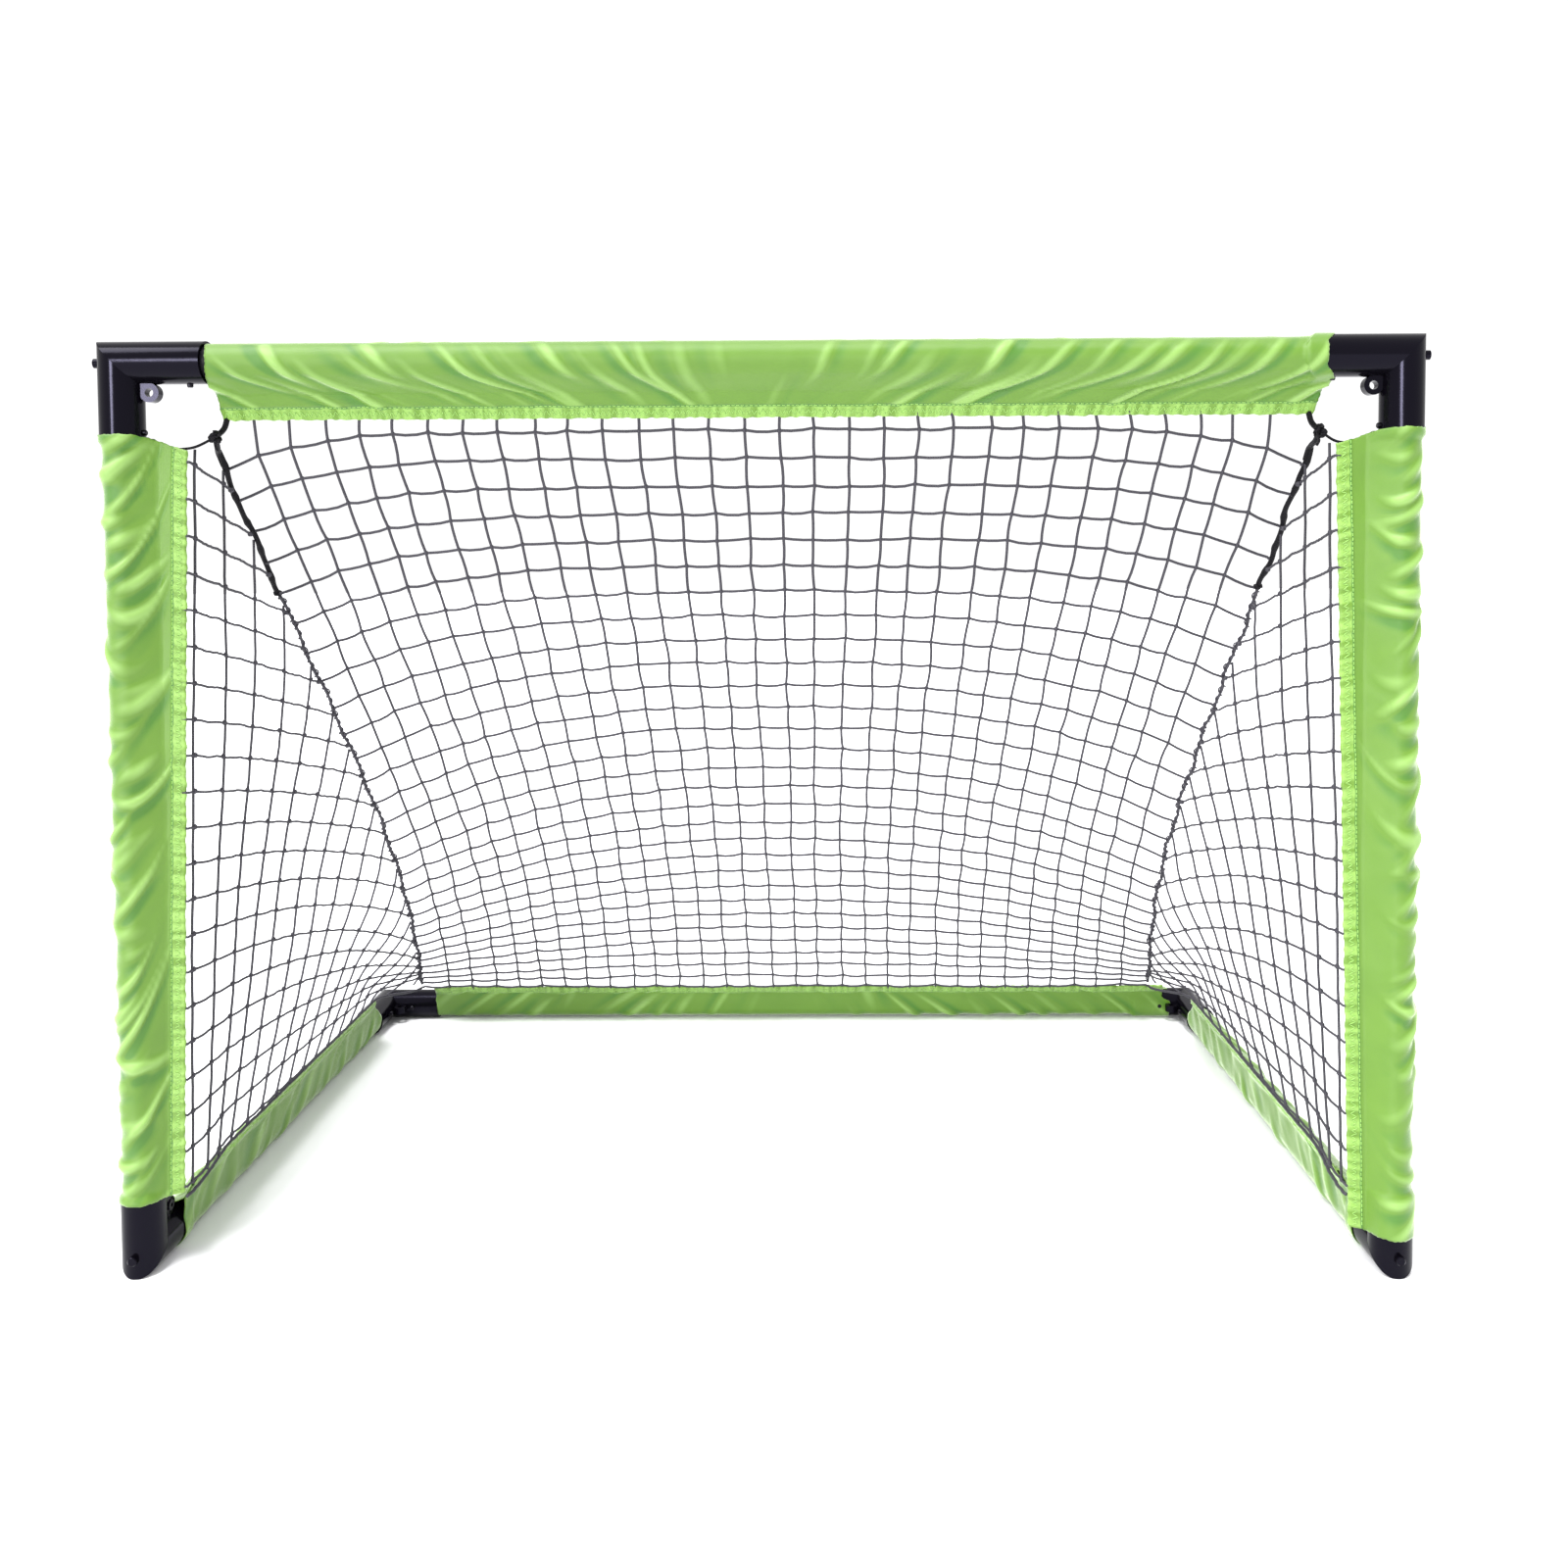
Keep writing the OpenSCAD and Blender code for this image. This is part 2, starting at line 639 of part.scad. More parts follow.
// Lattice of square strands. rows holds the crossings, row by row; a row is never shorter than
// the one before it. Each crossing is a small block, and strands join it to its neighbours.
module lattice(rows) {
  counts = [for (row = rows) len(row)];
  starts = [for (j = 0, n = 0; j < len(rows); n = n + counts[j], j = j + 1) n];
  has = function(i, j) j >= 0 && j < len(rows) && i >= 0 && i < counts[j];
  at = function(i, j) has(i, j) ? rows[j][i] : undef;
  near = function(i, j, k, l) has(k, l) ? at(k, l) : at(i, j);
  step = function(i, j, di, dj) unit(near(i, j, i + di, j + dj) - near(i, j, i - di, j - dj));
  block = function(i, j)
    let (
      u = step(i, j, 1, 0),
      v = has(i, j - 1) || has(i, j + 1) ? step(i, j, 0, 1) : step(i - 1, j, 0, 1),
      n = unit(cross(u, v)) * strand_t / 2,
      a = u * strand_w / 2, b = v * strand_w / 2, p = at(i, j),
      flat = [p - a - b, p + a - b, p + a + b, p - a + b]
    )
    concat([for (q = flat) q + n], [for (q = flat) q - n]);
  points = [for (j = [0:len(rows) - 1]) for (i = [0:counts[j] - 1]) each block(i, j)];
  faces = [
    for (j = [0:len(rows) - 1]) for (i = [0:counts[j] - 1])
      let (a = 8 * (starts[j] + i), e = a + 8, s = has(i, j + 1) ? 8 * (starts[j + 1] + i) : 0)
      each concat(
        two(a, a + 3, a + 2, a + 1),
        two(a + 4, a + 5, a + 6, a + 7),
        has(i + 1, j)
          ? concat(
              two(a + 1, a + 2, e + 3, e), two(a + 5, e + 4, e + 7, a + 6),
              two(a + 1, e, e + 4, a + 5), two(e + 3, a + 2, a + 6, e + 7))
          : two(a + 1, a + 2, a + 6, a + 5),
        has(i - 1, j) ? [] : two(a + 3, a, a + 4, a + 7),
        has(i, j + 1)
          ? concat(
              two(a + 2, a + 3, s, s + 1), two(a + 7, a + 6, s + 5, s + 4),
              two(s, a + 3, a + 7, s + 4), two(a + 2, s + 1, s + 5, a + 6))
          : two(a + 2, a + 3, a + 7, a + 6),
        has(i, j - 1) ? [] : two(a, a + 1, a + 5, a + 4)
      )
  ];
  polyhedron(points = points, faces = faces, convexity = 10);
}

// Back panel of the net, from the crossbar's flap to the rear tube's flap
module back_net() {
  color(net_black)
    lattice([
      for (j = [0:net_rows])
        let (t = j / net_rows, half = seam_x(t) - seam_clear)
        [for (i = [0:net_cols]) net_line(t) + [half * (2 * i / net_cols - 1), 0, 0]]
    ]);
}

// Distance from a post's axis to the net at a height z
function post_edge(z) =
  sleeve_r + edge_clear
  + mix(post_flap_low_w, post_flap_top_w, (z - post_low_z) / (side_top_z - post_low_z));

// Point of the left side panel: t runs down the post, s from the post to the seam.
// Towards the ground the panel swings out to the edge of the side sleeve's flap.
function side_point(s, t) =
  let (
    seam = net_line(t) - [seam_x(t), seam_clear / diagonal, 0],
    z = mix(side_top_z, side_edge.z, t),
    post = [post_edge(z) - post_x, post_y, z],
    flat = mix(post, seam, s),
    from_post = limit((flat.y - post_y) / (cuff_start + post_slant), 0, 1),
    to_seam = limit((seam.y - flat.y) / (seam.y - side_flap_end_y), 0, 1)
  )
  mix(flat, [side_edge.x, flat.y, side_edge.z], from_post * to_seam * pow(t, 5));

// Side panel of the net: each row is one crossing longer than the row above it
module side_net() {
  color(net_black)
    lattice([
      for (j = [0:side_rows])
        [for (i = [0:j + 1]) side_point(i / (j + 1), j / side_rows)]
    ]);
}

// Round cord swept along a list of points
module cord(path, d) {
  count = len(path);
  points = [
    for (k = [0:count - 1])
      let (
        t = unit(path[min(k + 1, count - 1)] - path[max(k - 1, 0)]),
        a = unit(cross(t, abs(t.x) < 0.9 ? right_dir : up_dir)),
        b = cross(t, a)
      )
      for (s = [0:cord_sides - 1])
        path[k] + (a * cos(360 * s / cord_sides) + b * sin(360 * s / cord_sides)) * d / 2
  ];
  last = (count - 1) * cord_sides;
  faces = concat(
    [for (s = [1:cord_sides - 2]) [0, s, s + 1]],
    [for (s = [1:cord_sides - 2]) [last, last + s + 1, last + s]],
    [
      for (k = [0:count - 2]) for (s = [0:cord_sides - 1])
        let (low = k * cord_sides, next = (s + 1) % cord_sides)
        each two(low + s, low + cord_sides + s, low + cord_sides + next, low + next)
    ]
  );
  polyhedron(points = points, faces = faces, convexity = 4);
}

// Cord that laces the back panel to a side panel
module seam_cord() {
  color(net_black)
    cord([for (k = [0:seam_rings]) net_line(k / seam_rings) - [seam_x(k / seam_rings), 0, 0]], seam_d);
}

// Point a share of the way from a to b, with a share for each axis
function between(a, b, share) = [for (k = [0:2]) mix(a[k], b[k], share[k])];

// Short cord at a top corner, from the crossbar's flap over the end of the seam to the post's
// flap. The crossbar's flap reaches past the leg's end by overlap and is slanted there.
module corner_tie(overlap, slant) {
  on_bar = sleeve_r + flap_w * 0.7;
  on_post = sleeve_r + post_flap_top_w * 0.85;
  bar_end = post_x + elbow_r - top_bar_leg - sleeve_gap + overlap - slant * 0.7;
  post_end = side_top_z - sleeve_gap - post_slant * 0.85;
  over_bar = sleeve_gap + tie_d * 0.6;
  over_post = sleeve_gap + tie_d * 0.42;
  net_corner = net_top - [net_top_half, 0, 0];
  bar_flap = [-bar_end - over_bar, post_y, bar_z] + on_bar * bar_flap_dir;
  post_flap = [on_post - post_x, post_y, post_end + over_post];
  round_seam = between(net_corner, post_flap, [0.65, 0.45, 0.17]);
  color(net_black)
    cord([
      bar_flap,
      between(bar_flap, round_seam, [0.52, 0.4, 0.32]),
      round_seam,
      between(net_corner, post_flap, [0.97, 0.69, 0.59]),
      post_flap
    ], tie_d);
}

// ---------- The goal ----------

crossbar_tube();
post_tube();  // left_post_tube
right() post_tube();  // right_post_tube
side_tube();  // left_side_tube
right() side_tube();  // right_side_tube
rear_tube();
top_elbow();  // left_top_elbow
right() top_elbow();  // right_top_elbow
rear_elbow();  // left_rear_elbow
right() rear_elbow();  // right_rear_elbow
foot_post_half();  // left_foot_post_half
right() foot_post_half();  // right_foot_post_half
foot_side_half();  // left_foot_side_half
right() foot_side_half();  // right_foot_side_half
hinge_rivet();  // left_hinge_rivet
right() hinge_rivet();  // right_hinge_rivet
lock_button();  // left_lock_button
right() lock_button();  // right_lock_button
lock_spring();  // left_lock_spring
right() lock_spring();  // right_lock_spring
top_bar_snap();  // left_top_bar_snap
right() top_bar_snap();  // right_top_bar_snap
top_post_snap();  // left_top_post_snap
right() top_post_snap();  // right_top_post_snap
foot_post_snap();  // left_foot_post_snap
right() foot_post_snap();  // right_foot_post_snap
foot_side_snap();  // left_foot_side_snap
right() foot_side_snap();  // right_foot_side_snap
rear_side_snap();  // left_rear_side_snap
right() rear_side_snap();  // right_rear_side_snap
rear_bar_snap();  // left_rear_bar_snap
right() rear_bar_snap();  // right_rear_bar_snap
crossbar_sleeve();
post_sleeve(left_post_overlap);  // left_post_sleeve
right() post_sleeve(right_post_overlap);  // right_post_sleeve
side_sleeve();  // left_side_sleeve
right() side_sleeve();  // right_side_sleeve
rear_sleeve();
back_net();
side_net();  // left_side_net
right() side_net();  // right_side_net
seam_cord();  // left_seam_cord
right() seam_cord();  // right_seam_cord
corner_tie(0, bar_slant);  // left_corner_tie
right() corner_tie(bar_overlap, bar_right_slant);  // right_corner_tie
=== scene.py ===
# %% [markdown]
# A folding street hockey goal stands on a pale floor: steel tubes, moulded corners, lime fabric
# sleeves and a black net. The rigid parts come from a CAD model, which is loaded here as a fixed
# frame. This lesson makes what is soft, and gives every surface its finish.

import bmesh
import bpy
import numpy as np
from mathutils import Matrix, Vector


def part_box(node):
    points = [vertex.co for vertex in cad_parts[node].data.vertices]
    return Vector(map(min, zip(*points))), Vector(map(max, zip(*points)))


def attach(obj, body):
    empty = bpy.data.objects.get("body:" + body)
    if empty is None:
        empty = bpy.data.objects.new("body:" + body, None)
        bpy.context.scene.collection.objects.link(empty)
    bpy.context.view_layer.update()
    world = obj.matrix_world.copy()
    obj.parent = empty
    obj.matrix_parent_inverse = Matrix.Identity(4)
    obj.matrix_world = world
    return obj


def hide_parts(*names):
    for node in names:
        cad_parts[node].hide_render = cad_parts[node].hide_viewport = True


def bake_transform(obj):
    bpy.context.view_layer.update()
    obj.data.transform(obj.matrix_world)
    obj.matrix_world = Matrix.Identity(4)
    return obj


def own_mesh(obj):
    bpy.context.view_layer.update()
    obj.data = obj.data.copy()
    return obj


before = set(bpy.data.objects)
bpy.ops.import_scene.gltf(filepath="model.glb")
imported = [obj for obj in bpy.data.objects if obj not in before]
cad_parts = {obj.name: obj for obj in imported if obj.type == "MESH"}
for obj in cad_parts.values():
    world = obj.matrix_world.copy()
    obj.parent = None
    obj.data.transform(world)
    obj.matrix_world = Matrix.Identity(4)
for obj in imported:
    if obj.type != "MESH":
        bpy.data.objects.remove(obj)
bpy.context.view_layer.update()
MM = 0.001


def mm(*values):
    """Sizes given in millimetres, in metres."""
    return tuple(v * MM for v in values)


# %% [markdown]
# The soft parts follow the tubes, so the first thing to read from the frame is where the tubes
# lie. A tube's axis goes through the middle of its box. The goal is the same on the left and on
# the right, so one side is measured, and the other side is its mirror image.

# %% Read the axes of the tubes
def corners(node):
    """Lowest and highest corner of a CAD node."""
    low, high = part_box(node)
    return np.array(low), np.array(high)


def middle(node):
    """Middle of a CAD node's box."""
    low, high = corners(node)
    return (low + high) / 2


BAR, POST = middle("crossbar_tube"), middle("left_post_tube")
SIDE, REAR = middle("left_side_tube"), middle("rear_tube")
POST_X = -POST[0]
print("crossbar at", BAR, "post at", POST, "side tube at", SIDE, "rear tube at", REAR)

# %% [markdown]
# The camera stands a little to the right of the middle, about as high as a child's eye, and looks
# almost level into the mouth of the goal. Its turn is written as three small angles. A matrix
# made from the three directions right, up and back is easier to check than Euler angles.

# %% Place the camera
CAMERA_AT = np.array([0.0577, POST[1] - 1.2196, 0.6793])
CAMERA_YAW, CAMERA_PITCH, CAMERA_ROLL = 0.0084, 0.0423, 0.0051
CAMERA_LENS = 29.70
CAMERA_SHIFT = (-0.0172, -0.1060)


def camera_axes(yaw, pitch, roll):
    """Directions right, up and back of a camera that looks along +Y, turns left by yaw, down by
    pitch and then round its own axis by roll."""
    ahead = np.array([-np.sin(yaw), np.cos(yaw), 0.0])
    right = np.array([np.cos(yaw), np.sin(yaw), 0.0])
    top = np.array([0.0, 0.0, 1.0])
    up = np.sin(pitch) * ahead + np.cos(pitch) * top
    back = np.sin(pitch) * top - np.cos(pitch) * ahead
    turned_right = np.cos(roll) * right - np.sin(roll) * up
    turned_up = np.sin(roll) * right + np.cos(roll) * up
    return turned_right, turned_up, back


camera = bpy.data.objects.new("camera", bpy.data.cameras.new("camera"))
bpy.context.collection.objects.link(camera)
camera.data.lens = CAMERA_LENS
camera.data.shift_x, camera.data.shift_y = CAMERA_SHIFT
placed = np.eye(4)
placed[:3, :3] = np.stack(camera_axes(CAMERA_YAW, CAMERA_PITCH, CAMERA_ROLL), axis=1)
placed[:3, 3] = CAMERA_AT
camera.matrix_world = Matrix(placed.tolist())
bpy.context.scene.camera = camera
print("camera at", CAMERA_AT, "with a lens of", CAMERA_LENS, "mm")

# %% [markdown]
# A light tent has no horizon: a wide pale floor meets an even white sky. The even light alone would
# flatten the folds of the cloth, so a large soft key light from the upper left rakes across them,
# a light from above pales the upper side of the tubes, and a narrower one in front, low down,
# draws the highlight along the black corners. A sun lamp has no place, only a direction, and the
# angle that it fills in the sky is what makes its shadows soft.

# %% Small helpers for colours and nodes
def linear(colour):
    """Linear RGBA of an sRGB hex colour: each channel is undone by the sRGB curve."""
    srgb = np.array([int(colour[k:k + 2], 16) for k in (1, 3, 5)]) / 255
    low, high = srgb / 12.92, ((srgb + 0.055) / 1.055) ** 2.4
    return [*np.where(srgb <= 0.04045, low, high).tolist(), 1.0]


def add(tree, kind, settings=None, **links):
    """Adds a node of a kind. Settings are its properties or, by name or number, its inputs. Links
    name an input, with _ for a space, and give the socket that feeds it."""
    made = tree.nodes.new("ShaderNode" + kind)
    for name, value in (settings or {}).items():
        if isinstance(name, str) and hasattr(made, name):
            setattr(made, name, value)
        else:
            made.inputs[name].default_value = value
    for name, socket in links.items():
        key = int(name[1:]) if name[0] == "n" and name[1:].isdigit() else name.replace("_", " ")
        tree.links.new(socket, made.inputs[key])
    return made


print("a mid green in linear light:", [round(c, 3) for c in linear("#8FC962")])

# %% Floor, sky and lamps
FLOOR_SIZE = 60.0
SKY_STRENGTH = 1.1
LAMPS = {
    "key_from_the_left": ((-1.0, -0.45, 1.2), 32, 2.5),
    "top_light": ((-0.1, -0.3, 1.0), 20, 2.6),
    "strip_from_the_front": ((-0.4, -0.9, 0.14), 12, 1.8),
}


def sky(strength):
    """World of one white, as in a light tent."""
    world = bpy.data.worlds.new("studio")
    world.use_nodes = True
    background = world.node_tree.nodes["Background"]
    background.inputs["Color"].default_value = linear("#FFFFFF")
    background.inputs["Strength"].default_value = strength
    bpy.context.scene.world = world


def lamp(name, source, spread, strength):
    """Sun that shines from a direction, as wide as spread in degrees, like a large soft box."""
    data = bpy.data.lights.new(name, "SUN")
    data.angle, data.energy = np.radians(spread), strength
    made = bpy.data.objects.new(name, data)
    bpy.context.collection.objects.link(made)
    back = np.array(source, float) / np.linalg.norm(source)
    side = np.cross([0.0, 0.0, 1.0], back)
    side /= np.linalg.norm(side)
    turn = np.eye(4)
    turn[:3, :3] = np.stack([side, np.cross(back, side), back], axis=1)
    made.matrix_world = Matrix(turn.tolist())


def floor():
    """Wide flat square at the height of the ground."""
    mesh = bpy.data.meshes.new("floor")
    half = FLOOR_SIZE / 2
    edges = [(-half, -half, 0), (half, -half, 0), (half, half, 0), (-half, half, 0)]
    mesh.from_pydata(edges, [], [(0, 1, 2, 3)])
    made = bpy.data.objects.new("floor", mesh)
    bpy.context.collection.objects.link(made)
    material = bpy.data.materials.new("matt_white_floor")
    material.use_nodes = True
    shader = material.node_tree.nodes["Principled BSDF"]
    shader.inputs["Base Color"].default_value = linear("#F8F8FA")
    shader.inputs["Roughness"].default_value = 0.9
    shader.inputs["Specular IOR Level"].default_value = 0.0
    mesh.materials.append(material)


sky(SKY_STRENGTH)
floor()
for name, (source, spread, strength) in LAMPS.items():
    lamp(name, source, spread, strength)
bpy.context.scene.view_settings.view_transform = "Standard"
print("lamps:", ", ".join(LAMPS))

# %% [markdown]
# Each material starts from what the real one is. The corners are injection-moulded polypropylene:
# near black, with a soft gloss and a faint unevenness where the plastic shrank. A noise in the
# bump does that, and a second, finer one breaks up the gloss as handling does. The specular level
# is low, or the white studio would turn the black to grey, and it is tinted a faint violet, so
# that the highlights keep a cool black's cast.

# %% Material: moulded black plastic
PLASTIC_SHRINK = 14 * MM
PLASTIC_GRAIN = 0.8 * MM


def blank(name):
    """New material with an empty tree, and that tree."""
    material = bpy.data.materials.new(name)
    material.use_nodes = True
    material.node_tree.nodes.clear()
    return material, material.node_tree


def finish(tree, shader):
    """Ends a tree in its shader."""
    add(tree, "OutputMaterial", Surface=shader.outputs[0])


def moulded_plastic(name, colour, rough):
    """Moulded polypropylene: slow waves of shrinkage and a fine grain."""
    material, tree = blank(name)
    place = add(tree, "TexCoord").outputs["Object"]
    waves = add(tree, "TexNoise", {"Scale": 1 / PLASTIC_SHRINK, "Detail": 1.0}, Vector=place)
    grain = add(tree, "TexNoise", {"Scale": 1 / PLASTIC_GRAIN, "Detail": 2.0}, Vector=place)
    shine = add(
        tree, "MapRange", {"To Min": rough - 0.05, "To Max": rough + 0.08}, Value=grain.outputs["Fac"]
    )
    slow = add(tree, "Bump", {"Strength": 0.12, "Distance": 0.5 * MM}, Height=waves.outputs["Fac"])
    fine = add(
        tree, "Bump", {"Strength": 0.08, "Distance": 0.1 * MM},
        Height=grain.outputs["Fac"], Normal=slow.outputs[0],
    )
    finish(tree, add(
        tree, "BsdfPrincipled",
        {"Base Color": linear(colour), "IOR": 1.49, "Specular IOR Level": 0.12,
         "Specular Tint": linear("#DCD8FF")},
        Roughness=shine.outputs[0], Normal=fine.outputs[0],
    ))
    return material


black_plastic = moulded_plastic("moulded_polypropylene", "#060509", 0.15)
print("made", black_plastic.name)

# %% [markdown]
# The tubes are steel with a dark powder coat. The powder melts in an oven and sets with a fine
# orange peel. The springs in the feet are plated with zinc, which shows as a pale metal with soft
# cloudy patches, because its crystals reflect a little differently. The hinge rivets and the snap
# buttons are blackened steel. It is cloudy too, but nearly black, so one function makes both.

# %% Materials: coated, plated and blackened steel
COAT_GRAIN = 0.6 * MM
PLATE_CLOUD = 3 * MM


def powder_coat(name, colour):
    """Powder-coated steel: an even colour with a fine orange peel."""
    material, tree = blank(name)
    place = add(tree, "TexCoord").outputs["Object"]
    peel = add(tree, "TexNoise", {"Scale": 1 / COAT_GRAIN, "Detail": 1.0}, Vector=place)
    bump = add(tree, "Bump", {"Strength": 0.15, "Distance": 0.1 * MM}, Height=peel.outputs["Fac"])
    finish(tree, add(
        tree, "BsdfPrincipled",
        {"Base Color": linear(colour), "Roughness": 0.4, "Specular IOR Level": 0.12},
        Normal=bump.outputs[0],
    ))
    return material


def treated_steel(name, dark, light):
    """Plated or blackened steel, whose tint and roughness drift from patch to patch."""
    material, tree = blank(name)
    place = add(tree, "TexCoord").outputs["Object"]
    cloud = add(tree, "TexNoise", {"Scale": 1 / PLATE_CLOUD, "Detail": 3.0}, Vector=place)
    tint = add(tree, "MixRGB", {1: linear(dark), 2: linear(light)}, Fac=cloud.outputs["Fac"])
    shine = add(tree, "MapRange", {"To Min": 0.25, "To Max": 0.42}, Value=cloud.outputs["Fac"])
    finish(tree, add(
        tree, "BsdfPrincipled", {"Metallic": 1.0},
        Base_Color=tint.outputs[0], Roughness=shine.outputs[0],
    ))
    return material


coated_tube = powder_coat("powder_coated_steel", "#121116")
zinc = treated_steel("zinc_plated_steel", "#A9ADB3", "#C6CACF")
black_oxide = treated_steel("blackened_steel", "#1C1B20", "#2E2D33")
print("made", coated_tube.name, zinc.name, black_oxide.name)

# %% Give the CAD nodes their materials
FINISH_OF = {
    "elbow": black_plastic, "foot": black_plastic, "lock_button": black_plastic,
    "tube": coated_tube, "rivet": black_oxide, "spring": zinc, "snap": black_oxide,
}


def finish_for(node):
    """Material of a CAD node, by the last word of the list above that its name holds."""
    found = None
    for word, material in FINISH_OF.items():
        if word in node:
            found = material
    return found


for node_name, node_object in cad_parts.items():
    material = finish_for(node_name)
    if material is not None:
        node_object.data.materials.clear()
        node_object.data.materials.append(material)
print("painted", sum(finish_for(n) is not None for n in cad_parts), "CAD nodes")

# %% [markdown]
# The sleeves are woven polyester, the cloth of bags and tents. It has a fine square weave and a
# faint silky sheen. The cloth's own map runs in metres, along the sleeve and across it from the
# stitched edge of the flap, so that the weave, the hem band and its seam follow every fold. The
# real threads lie 0.4 mm apart, which is too fine to show, so they are drawn 1.1 mm apart. Light
# and shade are also painted into the colour along the folds. The ridge of a fold gets a paler
# painted highlight. A hollow gets a deeper painted shade, as light bounces about in it and takes
# on more of the cloth's colour each time. Each point of the cloth carries the height that it was
# folded to, and the painted highlight and shade follow it.

# %% Material: woven polyester
THREAD = 1.1 * MM
HEM = 14 * MM
SEAM_LINE = 1.6 * MM
GATHER = 9 * MM
PAINTED_SHADE_FROM, PAINTED_SHADE_TO = mm(-0.05, -0.9)
PAINTED_HIGHLIGHT_FROM, PAINTED_HIGHLIGHT_TO = mm(0.4, 2.6)
FOLD_PAINTED_LIGHT = 0.75


def woven_polyester(name, dark, light, hem_light, ridge, hollow, seam_dark):
    """Plain weave with a paler hem band and a dark line along its inner seam. The weave is the
    product of two sine waves. The folds' height comes from the cloth's own attribute, and it paints
    a highlight onto the ridges and shade into the hollows."""
    material, tree = blank(name)
    cloth = add(tree, "UVMap", {"uv_map": "cloth"}).outputs["UV"]
    place = add(tree, "TexCoord").outputs["Object"]
    split = add(tree, "SeparateXYZ", Vector=cloth)
    along, across = split.outputs["X"], split.outputs["Y"]
    pitch = 2 * np.pi / THREAD
    warp = add(tree, "Math", {"operation": "MULTIPLY", 1: pitch}, n0=along).outputs[0]
    weft = add(tree, "Math", {"operation": "MULTIPLY", 1: pitch}, n0=across).outputs[0]
    warp = add(tree, "Math", {"operation": "SINE"}, n0=warp).outputs[0]
    weft = add(tree, "Math", {"operation": "SINE"}, n0=weft).outputs[0]
    weave = add(tree, "Math", {"operation": "MULTIPLY"}, n0=warp, n1=weft).outputs[0]
    cloud = add(tree, "TexNoise", {"Scale": 22.0, "Detail": 3.0, "Roughness": 0.6}, Vector=place)
    tint = add(tree, "MixRGB", {1: linear(dark), 2: linear(light)}, Fac=cloud.outputs["Fac"]).outputs[0]
    in_hem = add(
        tree, "MapRange",
        {"interpolation_type": "SMOOTHSTEP", "From Min": HEM + SEAM_LINE, "From Max": HEM - SEAM_LINE},
        Value=across,
    ).outputs["Result"]
    tucks = add(
        tree, "TexNoise", {"noise_dimensions": "1D", "Scale": 1 / GATHER, "Detail": 2.0}, W=along
    ).outputs["Fac"]
    hem_tint = add(
        tree, "MixRGB", {1: linear(light), 2: linear(hem_light)},
        Fac=add(tree, "MapRange", {"From Min": 0.35, "From Max": 0.6}, Value=tucks).outputs[0],
    ).outputs[0]
    # Painted light: the fold height mixes painted shade into the hollows and a painted highlight onto the
    # ridges.
    fold = add(tree, "Attribute", {"attribute_name": "fold"}).outputs["Fac"]
    low = {"From Min": PAINTED_SHADE_FROM, "From Max": PAINTED_SHADE_TO, "To Max": FOLD_PAINTED_LIGHT}
    high = {"From Min": PAINTED_HIGHLIGHT_FROM, "From Max": PAINTED_HIGHLIGHT_TO, "To Max": FOLD_PAINTED_LIGHT}
    painted_shade_share = add(tree, "MapRange", low, Value=fold)
    painted_highlight_share = add(tree, "MapRange", high, Value=fold)
    tint = add(tree, "MixRGB", {2: linear(hollow)}, Fac=painted_shade_share.outputs[0], Color1=tint).outputs[0]
    tint = add(tree, "MixRGB", {2: linear(ridge)}, Fac=painted_highlight_share.outputs[0], Color1=tint).outputs[0]
    body = add(tree, "MixRGB", Fac=in_hem, Color1=tint, Color2=hem_tint).outputs[0]
    off_seam = add(tree, "Math", {"operation": "SUBTRACT", 1: HEM}, n0=across).outputs[0]
    off_seam = add(tree, "Math", {"operation": "ABSOLUTE"}, n0=off_seam).outputs[0]
    seam = add(
        tree, "MapRange", {"From Min": SEAM_LINE, "From Max": 0.4 * MM, "To Max": 0.85}, Value=off_seam
    ).outputs["Result"]
    colour = add(tree, "MixRGB", {2: linear(seam_dark)}, Fac=seam, Color1=body).outputs[0]
    bump = add(tree, "Bump", {"Strength": 0.35, "Distance": 0.12 * MM}, Height=weave)
    finish(tree, add(
        tree, "BsdfPrincipled",
        {"Roughness": 0.45, "Specular IOR Level": 0.5, "Sheen Weight": 0.8,
         "Sheen Roughness": 0.35, "Sheen Tint": linear("#F0FFE0")},
        Base_Color=colour, Normal=bump.outputs[0],
    ))
    return material


# ridge is the colour of the painted highlight on the folds' ridges, hollow the colour of the painted shade in
# their hollows.
lime_cloth = woven_polyester(
    "woven_polyester", dark="#4B7214", light="#587E1C", hem_light="#7CA348",
    ridge="#84A957", hollow="#2F650A", seam_dark="#35661F",
)
print("made", lime_cloth.name, "with threads drawn", THREAD / MM, "mm apart")

# %% [markdown]
# Netting and cords are braided polypropylene twine. Its strands cross in a small diagonal
# pattern: two sets of waves on the twine's own map, one turning left and one right, multiplied.
# It is black, but its fibres make it a dark grey in bright light. The pattern is drawn 3.2 mm
# long, because a real braid is finer than the eye sees at this size. The sewing thread is the
# same braid in the colour of the cloth.

# %% Materials: braided twine and sewing thread
BRAID = 3.2 * MM


